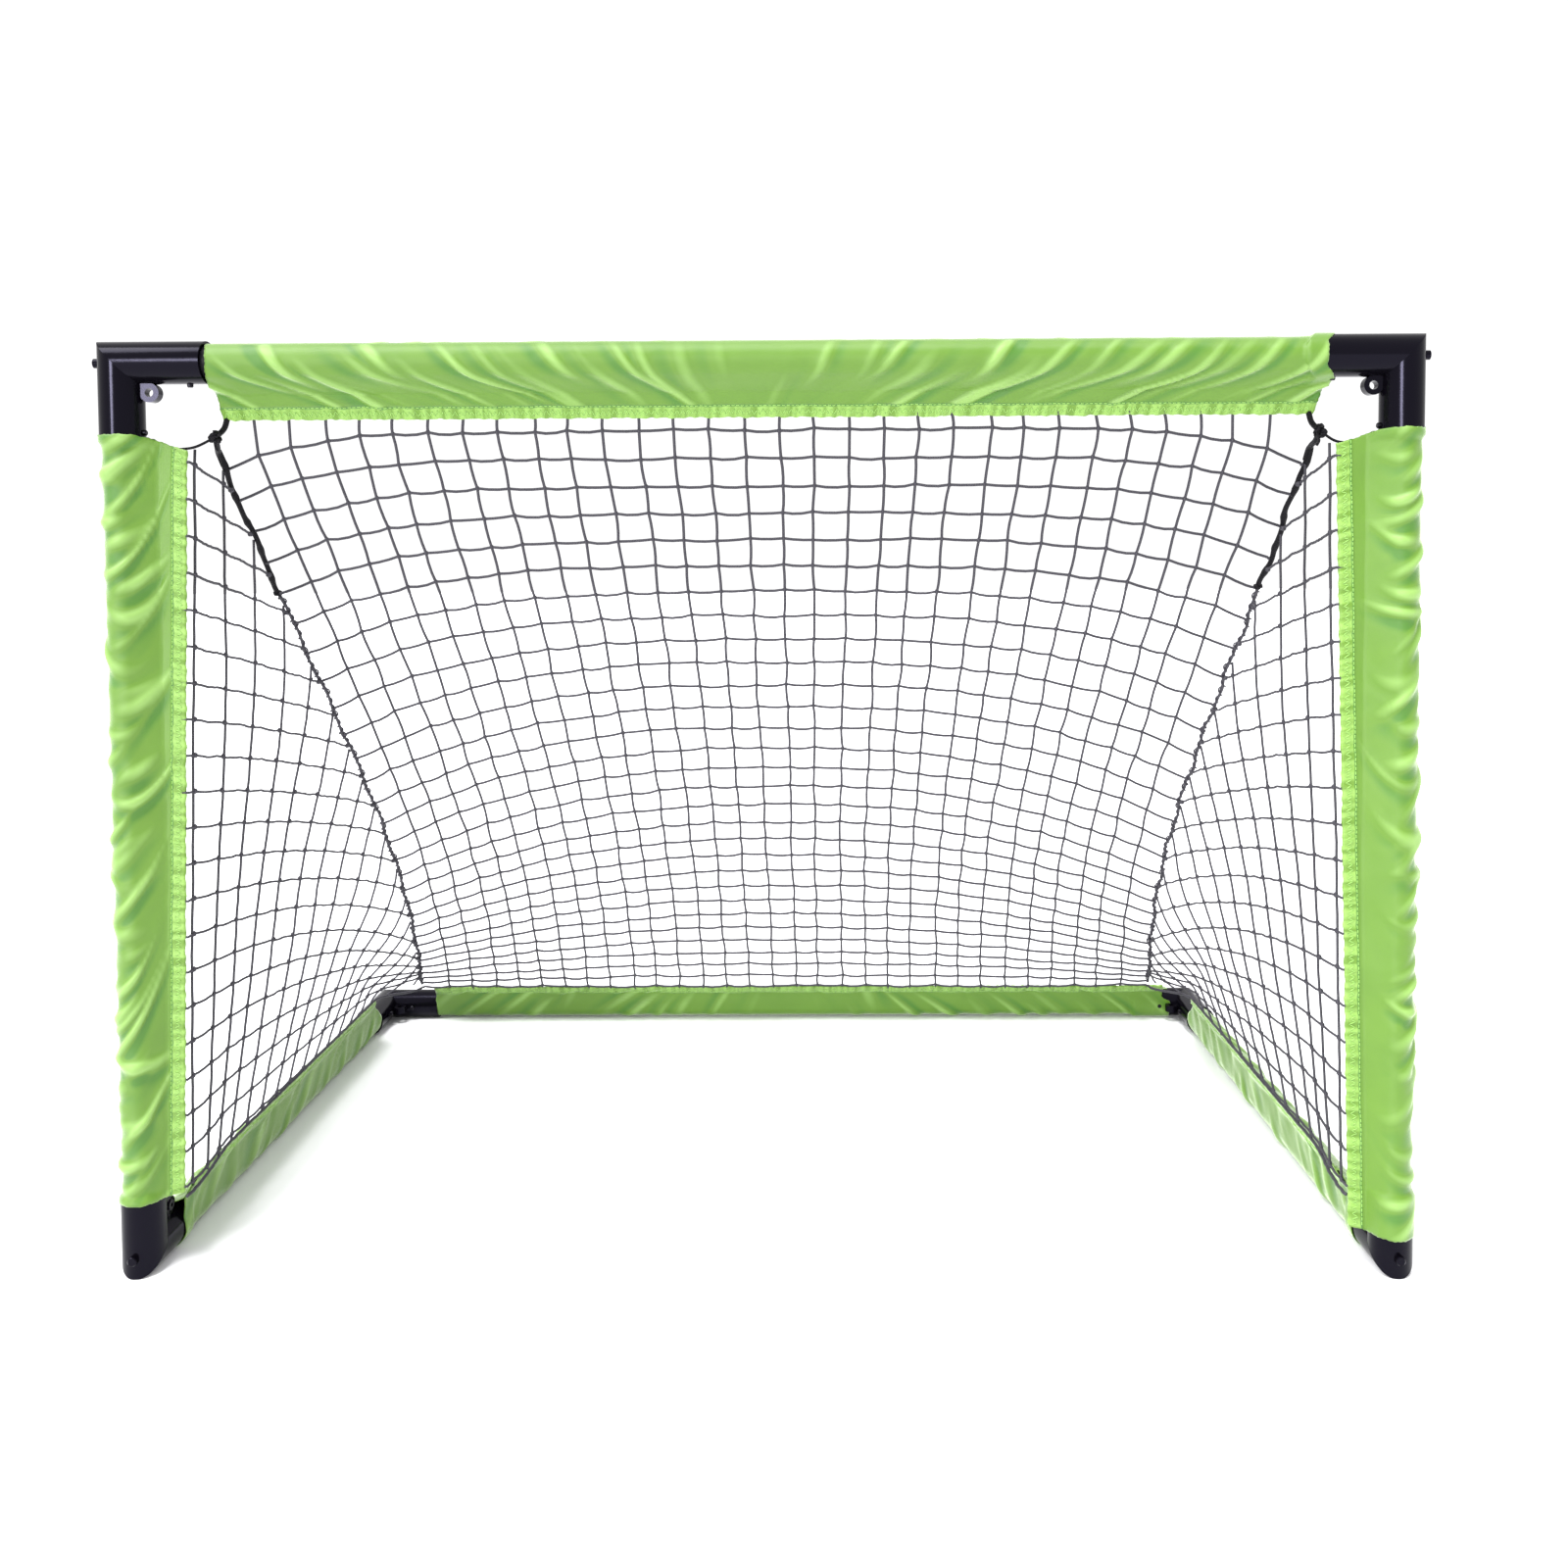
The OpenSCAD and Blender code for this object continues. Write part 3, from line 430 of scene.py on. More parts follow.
def braided_twine(name, dark, light, shine=0.3):
    """Braid: two families of diagonal stripes on the map that runs along and round the twine."""
    material, tree = blank(name)
    twine = add(tree, "UVMap", {"uv_map": "cloth"}).outputs["UV"]
    split = add(tree, "SeparateXYZ", Vector=twine)
    step = {"operation": "MULTIPLY", 1: 2 * np.pi / BRAID}
    runs = add(tree, "Math", step, n0=split.outputs["X"]).outputs[0]
    turns = add(tree, "Math", {"operation": "MULTIPLY", 1: 4 * np.pi}, n0=split.outputs["Y"]).outputs[0]
    left = add(tree, "Math", {"operation": "ADD"}, n0=runs, n1=turns).outputs[0]
    left = add(tree, "Math", {"operation": "SINE"}, n0=left).outputs[0]
    right = add(tree, "Math", {"operation": "SUBTRACT"}, n0=runs, n1=turns).outputs[0]
    right = add(tree, "Math", {"operation": "SINE"}, n0=right).outputs[0]
    braid = add(tree, "Math", {"operation": "MULTIPLY"}, n0=left, n1=right).outputs[0]
    share = add(tree, "MapRange", {"From Min": -1.0}, Value=braid).outputs[0]
    tint = add(tree, "MixRGB", {1: linear(dark), 2: linear(light)}, Fac=share)
    bump = add(tree, "Bump", {"Strength": 0.6, "Distance": 0.3 * MM}, Height=braid)
    finish(tree, add(
        tree, "BsdfPrincipled", {"Roughness": 0.6, "Specular IOR Level": shine},
        Base_Color=tint.outputs[0], Normal=bump.outputs[0],
    ))
    return material


net_twine = braided_twine("braided_net_twine", "#26252B", "#434149")
black_cord = braided_twine("braided_black_cord", "#060508", "#17161B", 0.12)
thread = braided_twine("polyester_thread", "#86B357", "#9CC76F")
print("made", net_twine.name, black_cord.name, thread.name)

# %% [markdown]
# All soft pieces are made by two tools. The first turns a grid of points into a surface, with a
# map in metres. The second sweeps round tubes along many paths at once, which is how a net of
# more than a thousand meshes is made in a moment.

# %% Tool: a surface from a grid of points
def put(name, points, faces, uv, material):
    """Object from points, a list of faces and the map of each face corner, smoothly shaded. If
    its volume comes out negative, its faces point inwards, and they are flipped."""
    mesh = bpy.data.meshes.new(name)
    mesh.from_pydata(points, [], faces)
    layer = mesh.uv_layers.new(name="cloth")
    layer.uv.foreach_set("vector", np.asarray(uv, np.float32).ravel())
    mesh.shade_smooth()
    mesh.materials.append(material)
    solid = bmesh.new()
    solid.from_mesh(mesh)
    if solid.calc_volume(signed=True) < 0:
        mesh.flip_normals()
    solid.free()
    made = bpy.data.objects.new(name, mesh)
    bpy.context.collection.objects.link(made)
    return made


def wrapped(name, points, along, across, material):
    """Tube-like surface: points[i, j] with i along it and j round it, closed round j. along[i] and
    across[j] are its map, and across holds one value more, for the closing corner."""
    rows, cols = points.shape[:2]
    i, j = np.meshgrid(np.arange(rows - 1), np.arange(cols), indexing="ij")
    k = (j + 1) % cols
    faces = np.stack([i * cols + j, (i + 1) * cols + j, (i + 1) * cols + k, i * cols + k], axis=-1)
    uv = np.stack([
        np.stack([along[i], along[i + 1], along[i + 1], along[i]], axis=-1),
        np.stack([across[j], across[j], across[j + 1], across[j + 1]], axis=-1),
    ], axis=-1)
    return put(name, points.reshape(-1, 3), faces.reshape(-1, 4).tolist(), uv, material)


print("surface tool ready")

# %% Tool: round tubes along many paths
def unit(v):
    """Vectors scaled to length 1."""
    return v / np.maximum(np.linalg.norm(v, axis=-1, keepdims=True), 1e-12)


def tubes(paths, radius, sides, beside):
    """Points, faces and map of round tubes. paths is (tubes, points, 3), radius a number or one
    for each path point, beside a direction that no path runs along. Each ring is the path point
    plus radius times (cos a, sin a) in the plane square to the path. Both ends are closed."""
    count, steps = paths.shape[:2]
    ahead = unit(np.gradient(paths, axis=1))
    first = unit(np.cross(ahead, beside))
    second = np.cross(ahead, first)
    turn = np.arange(sides) * 2 * np.pi / sides
    radius = np.broadcast_to(np.asarray(radius, float), (count, steps))[..., None, None]
    ring = first[:, :, None] * np.cos(turn)[:, None] + second[:, :, None] * np.sin(turn)[:, None]
    points = (paths[:, :, None] + radius * ring).reshape(-1, 3)
    p, k, s = np.meshgrid(np.arange(count), np.arange(steps - 1), np.arange(sides), indexing="ij")
    a = (p * steps + k) * sides
    n = (s + 1) % sides
    faces = np.stack([a + s, a + sides + s, a + sides + n, a + n], axis=-1).reshape(-1, 4)
    run = np.zeros((count, steps))
    run[:, 1:] = np.cumsum(np.linalg.norm(np.diff(paths, axis=1), axis=-1), axis=1)
    low, high, here, there = run[p, k], run[p, k + 1], s / sides, (s + 1) / sides
    uv = np.stack([
        np.stack([low, high, high, low], axis=-1), np.stack([here, here, there, there], axis=-1)
    ], axis=-1).reshape(-1, 4, 2)
    start = (np.arange(count) * steps * sides)[:, None] + np.arange(sides)
    ends = [start, start[:, ::-1] + (steps - 1) * sides]
    return points, faces, uv, ends


def strands(name, groups, material):
    """One object of several groups of tubes. A group is what tubes() gives."""
    points, faces, uv, offset = [], [], [], 0
    for group_points, quads, quad_uv, ends in groups:
        points.append(group_points)
        faces += (quads + offset).tolist()
        uv.append(quad_uv.reshape(-1, 2))
        for end in ends:
            faces += (end + offset).tolist()
            uv.append(np.zeros((end.size, 2)))
        offset += len(group_points)
    return put(name, np.concatenate(points), faces, np.concatenate(uv), material)


print("tube tool ready")

# %% [markdown]
# A sleeve is a strip of cloth wrapped round its tube and sewn to itself, so that a flap stands
# off, and the net hangs from the flap's hem. The cloth is a little wide for the tube and the net
# pulls at the flap, which draws slanting folds from the tube down to the hem. A cloth simulation
# could make them, but they are few and always alike, so a formula is steadier: ridges that cross
# the sleeve at a slant, steep on one side and soft on the other, each with its own place, height
# and width.

# %% Sizes of a sleeve
TUBE_R = (corners("crossbar_tube")[1][2] - corners("crossbar_tube")[0][2]) / 2
SNUG_R = TUBE_R + 1.7 * MM
CUFF_R = TUBE_R + 5.1 * MM
FLAP_FROM = TUBE_R + 2.5 * MM
CLOTH_T = 0.7 * MM
FLAP_HALF, HEM_HALF, HEM_ROUND = mm(1.0, 1.7, 1.6)
CLOSING, SHORTEST_CLOSING, LONGEST_CLOSING = mm(17, 4, 14)
HEM_STEPS = np.array([0.0, 0.25, 0.8, 2.0, 4.5, 7.0, 9.5, 12.0, 13.2, 14.0, 14.8]) * MM
FLAP_STEPS, WEB_STEPS, ARC_STEPS = 9, 6, 42
ALONG_STEP = 2.25 * MM
print("sleeve radius", round(SNUG_R / MM, 1), "mm, cuff radius", round(CUFF_R / MM, 1), "mm")


# %% The cross-section of a sleeve
def smooth(x):
    """S-curve from 0 at 0 to 1 at 1."""
    x = np.clip(x, 0, 1)
    return x * x * (3 - 2 * x)


def outline(radius, width):
    """Closed cross-sections, one for each radius and flap width, in a plane with the tube at the
    origin and the flap along +Y. Gives the points (rows, columns, 2), the outward normals, how far
    out on the flap each point is, from 0 on the tube to 1 at the hem, and its distance from the
    hem's edge along the cloth. They run from the edge down the flap, round the tube and back."""
    radius, width = radius[:, None], width[:, None]
    closing = np.clip(width - CLOSING, SHORTEST_CLOSING, LONGEST_CLOSING)
    tip, foot = FLAP_FROM + width, FLAP_FROM + closing
    free = np.maximum(width - closing - HEM_STEPS[-1], 1 * MM)
    from_edge = np.concatenate([
        np.broadcast_to(HEM_STEPS, (len(radius), len(HEM_STEPS))),
        HEM_STEPS[-1] + free * np.linspace(0, 1, FLAP_STEPS)[1:],
    ], axis=1)
    half = FLAP_HALF + (HEM_HALF - FLAP_HALF) * smooth((14.6 * MM - from_edge) / (1.2 * MM))
    inwards = 1 - np.minimum(from_edge / HEM_ROUND, 1)
    half = half * np.sqrt(np.maximum(1 - inwards ** 2, 0.01))
    flap = np.stack([tip - from_edge, half], axis=-1)
    touch = np.arccos(radius / (radius + closing))
    angle = touch + (2 * np.pi - 2 * touch) * np.linspace(0, 1, ARC_STEPS)
    arc = radius[..., None] * np.stack([np.cos(angle), np.sin(angle)], axis=-1)
    mix = np.linspace(0, 1, WEB_STEPS + 2)[None, 1:-1, None]
    web = flap[:, -1:] + (arc[:, :1] - flap[:, -1:]) * mix
    turned = np.array([1.0, -1.0])
    points = np.concatenate([flap, web, arc, web[:, ::-1] * turned, flap[:, :0:-1] * turned], axis=1)
    ahead = np.roll(points, -1, axis=1) - np.roll(points, 1, axis=1)
    normal = unit(np.stack([ahead[..., 1], -ahead[..., 0]], axis=-1))
    normal[:, 0] = [1.0, 0.0]
    out = smooth((points[..., 0] - radius * 0.75) / (foot - radius * 0.75))
    step = np.linalg.norm(np.diff(points, axis=1, append=points[:, :1]), axis=-1)
    run = np.concatenate([np.zeros((len(points), 1)), np.cumsum(step, axis=1)], axis=1)
    return points, normal, out, np.minimum(run, run[:, -1:] - run)


shape, _, _, girth = outline(np.array([SNUG_R]), np.array([40 * MM]))
print("outline of", shape.shape[1], "points, cloth", round(2 * girth.max() / MM), "mm wide")

# %% [markdown]
# A fold is a ridge along a line, and the line is bowed, because the pull comes from the tube on
# one end and from the hem on the other. A sum of such ridges with random places, leans and widths
# never repeats. A fixed seed makes the same random numbers on every run. A few long sine waves
# added together do for what only sways or gathers.

# %% The folds of a sleeve
STEEP = 0.68


def folds(x, across, seed, ends, slant, spacing, lean, bow, centre, place, reach, wide, high):
    """Height of the folds, in metres, at x along the sleeve and at a distance across it. Each fold
    is the ridge exp(-(d / w)^2), with d the distance along the sleeve from a line that leans and
    bows with the distance across, measured from centre. Its width w is smaller on the steep side,
    and a shallow hollow lies on its soft side. It fades out before it crosses the whole cloth.
    spacing, lean, bow, wide and high are ranges, from which each fold takes its own values, as are
    place and reach, which say where across the cloth it is strongest and how far it reaches from
    there. slant is a function of x that turns the folds one way or the other."""
    rng = np.random.default_rng(seed)
    count = int((ends[1] - ends[0]) / np.mean(spacing)) + 8
    at = ends[0] - 60 * MM + np.cumsum(rng.uniform(*spacing, count))
    width, height = rng.uniform(*wide, count), rng.uniform(*high, count)
    lean, bow = rng.uniform(*lean, count), rng.uniform(*bow, count)
    strongest, fades = rng.uniform(*place, count), rng.uniform(*reach, count)
    way = slant(at)
    height = height * np.minimum(np.abs(way), 1)
    q = across[..., None] - centre
    line = at + way * (lean * q + bow * q ** 2 / (60 * MM))
    d = (x[..., None] - line) * np.sign(way + 1e-9)
    w = np.where(d > 0, STEEP * width, width)
    strength = height * np.exp(-((across[..., None] - strongest) / fades) ** 2)
    hollow = 0.4 * np.exp(-((d + 1.9 * width) / (1.1 * width)) ** 2)
    return np.sum(strength * (np.exp(-(d / w) ** 2) - hollow), axis=-1)


def ripples(x, seed, periods, size):
    """Sum of sine waves along x with the given periods and random phases, size metres high."""
    rng = np.random.default_rng(seed)
    phase = rng.uniform(0, 2 * np.pi, len(periods))
    waves = [np.sin(2 * np.pi * x / p + a) for p, a in zip(periods, phase)]
    return size * np.sum(waves, axis=0) / len(periods)


tried = np.linspace(0, 0.05, 6)
print("ripples over 5 cm:", np.round(ripples(tried, 1, mm(31, 13), 0.8 * MM) / MM, 2), "mm")

# %% Where the cloth begins and ends
FRAY, FRAY_SIZE = mm(31, 13, 5), 0.8 * MM


def along_tube(spec, flat, width, from_edge, u):
    """Place along the tube of each point of the grid, at share u from the start to the end. Each
    end is cut at a slant towards the hem by slants, is pulled back by trim where the flap leaves
    the tube and by bite where it faces the front, and is a little frayed."""
    on_flap = np.clip((flat[..., 0] - FLAP_FROM) / width[:, None], 0, 1)
    off_tube = smooth((flat[..., 0] - 20 * MM) / (6 * MM))
    at_front = np.clip(flat @ np.array(spec.get("to_front", (0, 0))) / SNUG_R, 0, 1) ** 2
    slants, trim, bite = spec["slants"], spec.get("trim", (0, 0)), spec.get("bite", (0, 0))
    low = spec["span"][0] + slants[0] * on_flap + trim[0] * off_tube + bite[0] * at_front
    high = spec["span"][1] - slants[1] * on_flap - trim[1] * off_tube - bite[1] * at_front
    frayed = ripples(from_edge, spec["seed"] + 7, FRAY, FRAY_SIZE)
    return low + (high - low) * u[:, None] + frayed * np.abs(2 * u[:, None] - 1) ** 6


print("an end frays by up to", FRAY_SIZE / MM, "mm")

# %% Where the cloth is folded and gathered
SMALL_FOLDS = {"spacing": mm(15, 32), "wide": mm(6, 8), "high": mm(0.2, 0.8)}
TUCKS, TUCK_SIZE = mm(7.5, 9.6, 12.3, 17), 0.9 * MM
SCALLOPS, SCALLOP_SIZE = mm(35, 12), 0.7 * MM


def both_faces(spec, along, from_middle, is_first):
    """Height of the folds of the whole sleeve, whose two faces have folds of their own, and the
    height of the first face's folds, which also bend the flap."""
    ends, seed, large = spec["span"], spec["seed"], spec["folds"]
    first = folds(along, from_middle, seed, ends, **large)
    first = first + folds(along, from_middle, seed + 1, ends, **{**large, **SMALL_FOLDS})
    second = folds(along, from_middle, seed + 2, ends, **large)
    return np.where(is_first, first, second), first


def gathers(along, from_edge, seed):
    """The hem's tucks, which puff its faces, and the scallops of its edge."""
    hem = smooth((HEM + 2 * MM - from_edge) / (4 * MM))
    tucks = ripples(along + 0.3 * from_edge, seed + 4, TUCKS, TUCK_SIZE)
    puff = hem * tucks * np.clip(from_edge / (2 * MM), 0, 1)
    return puff, hem * ripples(along, seed + 5, SCALLOPS, SCALLOP_SIZE)


print("the hem has tucks of", TUCK_SIZE / MM, "mm")

# %% Build one sleeve
DEEPEST, GROUND_CLEAR = 0.6 * MM, 0.4 * MM
SWAY, SWAY_SIZE = mm(190, 83), 1.6 * MM
HELD_BY_NET = 34 * MM


def sleeve(spec):
    """Cloth of one sleeve, made in its own frame, where x runs along the tube and y towards the
    flap. Gives the grid of points (rows, columns, 3) in the frame of the goal, its map, and the
    height that each point was folded to."""
    start, end = spec["span"]
    rows = int((end - start) / ALONG_STEP)
    u = np.linspace(0, 1, rows + 1)
    x = start + (end - start) * u
    low_cuff, high_cuff = spec["cuffs"]
    over_leg = np.maximum(smooth((low_cuff + 5 * MM - x) / (6 * MM)),
                          smooth((x - high_cuff + 5 * MM) / (6 * MM)))
    radius = SNUG_R + (CUFF_R - SNUG_R) * over_leg
    width = spec["widths"][0] + (spec["widths"][1] - spec["widths"][0]) * u
    flat, normal, out, run = outline(radius, width)
    from_edge = run[:, :-1]
    from_middle = run.max() - from_edge
    along = along_tube(spec, flat, width, from_edge, u)
    height, first = both_faces(spec, along, from_middle, flat[..., 1] < 0)
    fades_in = smooth((from_middle - 2 * MM) / spec.get("calm", 16 * MM))
    fold = height * fades_in * (1 - out) * (1 - 0.75 * over_leg[:, None])
    puff, scallop = gathers(along, from_edge, spec["seed"])
    local = flat + normal * (np.maximum(fold, -DEEPEST) + puff)[..., None]
    sway = spec["bend"] * (first - first.mean()) + ripples(along, spec["seed"] + 3, SWAY, SWAY_SIZE)
    held = 1 - 0.75 * smooth(1 - from_edge / HELD_BY_NET)
    local[..., 1] -= sway * out * held
    local[..., 0] += scallop * out
    x_to, y_to = spec["along"], spec["flap"]
    z_to = np.cross(x_to, y_to) * spec.get("hand", 1)
    points = spec["at"] + along[..., None] * x_to + local[..., :1] * y_to + local[..., 1:] * z_to
    if spec["body"] == "ground_frame":
        points[..., 2] = np.maximum(points[..., 2], GROUND_CLEAR)
    return points, x, run[rows // 2], height * smooth((from_middle - 2 * MM) / (8 * MM))


print("sleeve grids have a row every", ALONG_STEP / MM, "mm")


# %% The way the folds of each sleeve run
def falling(x):
    """Folds that run down and to the middle of the goal, on either side of it, and fade there."""
    return -np.tanh(x / (170 * MM)) * 1.1


def rising(x):
    """Folds that all lean one way."""
    return np.full_like(x, 1.0)


BAR_FOLDS = {
    "slant": falling, "spacing": mm(22, 44), "lean": (0.2, 0.65), "bow": (0.3, 0.65),
    "centre": 0.0, "place": mm(14, 86), "reach": mm(22, 48), "wide": mm(6, 10),
    "high": mm(1.8, 4.6),
}
LEFT_POST_FOLDS = {
    "slant": rising, "spacing": mm(13, 27), "lean": (-0.3, 1.3), "bow": (0.3, 1.7),
    "centre": 42 * MM, "place": mm(18, 64), "reach": mm(13, 30), "wide": mm(5.5, 9.5),
    "high": mm(1.5, 4.3),
}
RIGHT_POST_FOLDS = {
    **LEFT_POST_FOLDS, "lean": (-1.3, 0.3), "place": mm(14, 50), "spacing": mm(15, 32),
}
GROUND_FOLDS = {
    "slant": rising, "spacing": mm(30, 60), "lean": (0.3, 1.2), "bow": (0.1, 0.5),
    "centre": 30 * MM, "place": mm(14, 80), "reach": mm(20, 40), "wide": mm(6, 12),
    "high": mm(1.2, 3.2),
}
print("the folds of the crossbar turn by", np.round(falling(np.array([-0.5, 0.0, 0.5])), 2))

# %% [markdown]
# Each sleeve is told by a few sizes: where it lies, which way its flap points, from where to where
# it goes, and how wide the flap is. Where the tube goes into a moulded leg, the cloth either stops
# short of it or lies over it as a loose cuff. The posts' flaps are wider at the top than at the
# bottom. The right side is the left side mirrored, but each sleeve has random folds of its own.

# %% Where the sleeves lie
SEAT = 0.3 * MM
BAR_FLAP, SIDE_FLAP, REAR_FLAP = np.radians([60, 60, 45])
NEVER = 1.0
POST_CLOTH_TOP = 802 * MM


def leg_end(node, corner, axis, gap):
    """Where a moulded leg ends along its tube, plus a gap, to a tenth of a millimetre."""
    return round(float(corners(node)[corner][axis]) + gap, 4)


BAR_LEG = -leg_end("left_top_elbow", 1, 0, SEAT)
POST_LEG = leg_end("left_top_elbow", 0, 2, -SEAT)
REAR_LEG = -leg_end("left_rear_elbow", 1, 0, SEAT)
SIDE_LEG = leg_end("left_rear_elbow", 0, 1, -SEAT)
FOOT_POST = leg_end("left_foot_post_half", 1, 2, SEAT)
FOOT_SIDE = leg_end("left_foot_side_half", 1, 1, SEAT)
print("legs end at", BAR_LEG, POST_LEG, REAR_LEG, SIDE_LEG, FOOT_POST, FOOT_SIDE)

# %% The sizes of each sleeve
TO_RIGHT, TO_BACK, UP = np.eye(3)
LEFT_POST = {
    "body": "front_frame", "at": np.array([-POST_X, POST[1], 0]), "along": UP, "flap": TO_RIGHT,
    "span": (71 * MM, POST_CLOTH_TOP), "cuffs": (FOOT_POST, POST_LEG), "widths": mm(22, 42),
    "slants": mm(5, 14), "bend": 1.0, "calm": 24 * MM,
}
LEFT_SIDE = {
    "body": "ground_frame", "at": np.array([-POST_X, 0, SIDE[2]]), "along": TO_BACK,
    "flap": np.cos(SIDE_FLAP) * TO_RIGHT + np.sin(SIDE_FLAP) * UP,
    "span": (-309 * MM, SIDE_LEG), "cuffs": (FOOT_SIDE, NEVER), "widths": mm(40, 40),
    "slants": mm(16, 56), "bend": 1.2, "folds": GROUND_FOLDS,
}


def on_the_right(spec):
    """The same sleeve on the right: its place, its flap and its section are mirrored."""
    mirror = np.array([-1.0, 1.0, 1.0])
    return {**spec, "at": spec["at"] * mirror, "flap": spec["flap"] * mirror, "hand": -1}


SLEEVES = {
    "crossbar_sleeve": {
        "body": "front_frame", "seed": 11, "at": BAR * [0, 1, 1], "along": TO_RIGHT,
        "flap": np.cos(BAR_FLAP) * TO_BACK - np.sin(BAR_FLAP) * UP,
        "to_front": (-np.cos(BAR_FLAP), -np.sin(BAR_FLAP)), "bite": mm(5, 12),
        "span": (-BAR_LEG, 536 * MM), "cuffs": (-NEVER, BAR_LEG), "widths": mm(40, 40),
        "slants": mm(1, 8), "bend": 1.2, "calm": 36 * MM, "folds": BAR_FOLDS,
    },
    "left_post_sleeve": {**LEFT_POST, "seed": 23, "folds": LEFT_POST_FOLDS},
    "right_post_sleeve": {
        **on_the_right(LEFT_POST), "seed": 37, "folds": RIGHT_POST_FOLDS,
        "span": (36.8 * MM, POST_CLOTH_TOP),
    },
    "left_side_sleeve": {**LEFT_SIDE, "seed": 41},
    "right_side_sleeve": {**on_the_right(LEFT_SIDE), "seed": 53},
    "rear_sleeve": {
        "body": "ground_frame", "seed": 67, "at": REAR * [0, 1, 1], "along": TO_RIGHT,
        "flap": -np.cos(REAR_FLAP) * TO_BACK + np.sin(REAR_FLAP) * UP,
        "span": (-REAR_LEG, 571.7 * MM), "cuffs": (-NEVER, REAR_LEG), "widths": mm(32, 32),
        "slants": mm(2, 2), "trim": mm(0, 12), "bend": 1.0,
        "folds": {**GROUND_FOLDS, "slant": falling},
    },
}
print("sleeves:", ", ".join(SLEEVES))

# %% Put the sleeves on their tubes
cloths = {}
for name, spec in SLEEVES.items():
    grid, x, across, fold = sleeve(spec)
    cloth = wrapped(name + "_cloth", grid, x, across, lime_cloth)
    # The fold height is kept on each point, so that the material can paint a highlight on the ridges and shade
    # in the hollows.
    folded = cloth.data.attributes.new("fold", "FLOAT", "POINT")
    folded.data.foreach_set("value", fold.astype(np.float32).ravel())
    thick = cloth.modifiers.new("cloth thickness", "SOLIDIFY")
    thick.thickness, thick.offset = CLOTH_T, -1.0
    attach(cloth, spec["body"])
    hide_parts(name)
    cloths[name] = {"grid": grid, "x": x, "width": 2 * across.max(), "object": cloth}
    print(name, "is cut", round(2 * across.max() / MM), "x", round(np.ptp(x) / MM), "mm")

# %% [markdown]
# Each hem is sewn twice: a straight row of stitches along its inner edge, and a zigzag in the
# middle that keeps the edge from fraying. The stitches are real thread, laid on the cloth's own
# grid of points, so that they follow every tuck. A stitch is 3 mm long.

# %% Thread on cloth
THREAD_R, ABOVE_CLOTH = 0.42 * MM, 0.25 * MM
STITCH, STITCH_GAP, ZIGZAG, ZIGZAG_HALF = mm(3.0, 1.4, 5.5, 2.6)
STRAIGHT_AT, ZIGZAG_AT = mm(13.0, 6.5)


def on_cloth(grid, row, column):
    """Points at fractional rows and columns of a grid, mixed from the four points around."""
    r = np.clip(row, 0, grid.shape[0] - 1.001)
    c = np.clip(column, 0, grid.shape[1] - 1.001)
    i, j = r.astype(int), c.astype(int)
    a, b = (r - i)[..., None], (c - j)[..., None]
    low = grid[i, j] * (1 - b) + grid[i, j + 1] * b
    high = grid[i + 1, j] * (1 - b) + grid[i + 1, j + 1] * b
    return low * (1 - a) + high * a


def stitches(cloth, face):
    """Groups of thread on one face of a hem: face 0 is the first columns of the grid, face 1 the
    last. A straight stitch is a short tube, sunk at its ends, and the zigzag is one long tube."""
    x = cloth["x"]
    grid = np.concatenate([cloth["grid"], cloth["grid"][:, :1]], axis=1)
    last = grid.shape[1] - 1

    def column(from_edge):
        """Column of the grid at a distance from the hem's edge, on this face."""
        k = np.interp(from_edge, HEM_STEPS, np.arange(len(HEM_STEPS)))
        return k if face == 0 else last - k

    def row(along):
        """Row of the grid at a place along the sleeve."""
        return (along - x[0]) * (len(x) - 1) / (x[-1] - x[0])

    centre = np.array([column(7 * MM)])
    there = on_cloth(grid, np.array([5.0]), last - centre)
    lift = unit(on_cloth(grid, np.array([5.0]), centre) - there) * ABOVE_CLOTH
    first = np.arange(x[0] + 4 * MM, x[-1] - 4 * MM, STITCH + STITCH_GAP)
    along = first[:, None] + np.array([0.0, 1 / 6, 5 / 6, 1.0]) * STITCH
    sink = np.array([-0.5, 1.0, 1.0, -0.5])[:, None]
    straight = on_cloth(grid, row(along), np.full_like(along, column(STRAIGHT_AT))) + lift * sink
    turns = np.arange(x[0] + 3 * MM, x[-1] - 3 * MM, ZIGZAG / 2)
    k = np.arange(len(turns))
    swing = ZIGZAG_AT + ZIGZAG_HALF * (2 * (k % 2) - 1)
    fine = np.linspace(0, k[-1], 3 * k[-1] + 1)
    zigzag = on_cloth(grid, row(np.interp(fine, k, turns)), column(np.interp(fine, k, swing))) + lift
    beside = unit(lift[0])
    return [tubes(straight, THREAD_R, 4, beside), tubes(zigzag[None], THREAD_R, 4, beside)]


print("a stitch every", (STITCH + STITCH_GAP) / MM, "mm, a zigzag every", ZIGZAG / MM, "mm")

# %% Sew the hems
for name, cloth in cloths.items():
    sewn = strands(name + "_stitches", stitches(cloth, 0) + stitches(cloth, 1), thread)
    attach(sewn, SLEEVES[name]["body"])
print("sewn", len(cloths), "hems on both faces")

# %% [markdown]
# The net is made of twine about 3 mm thick, with a square mesh of 34 mm. The back panel runs from
# the crossbar's hem down to the rear tube's hem and hangs through a little. Its sides are laced to
# the side panels along a seam that is bowed inwards by the pull of the net.

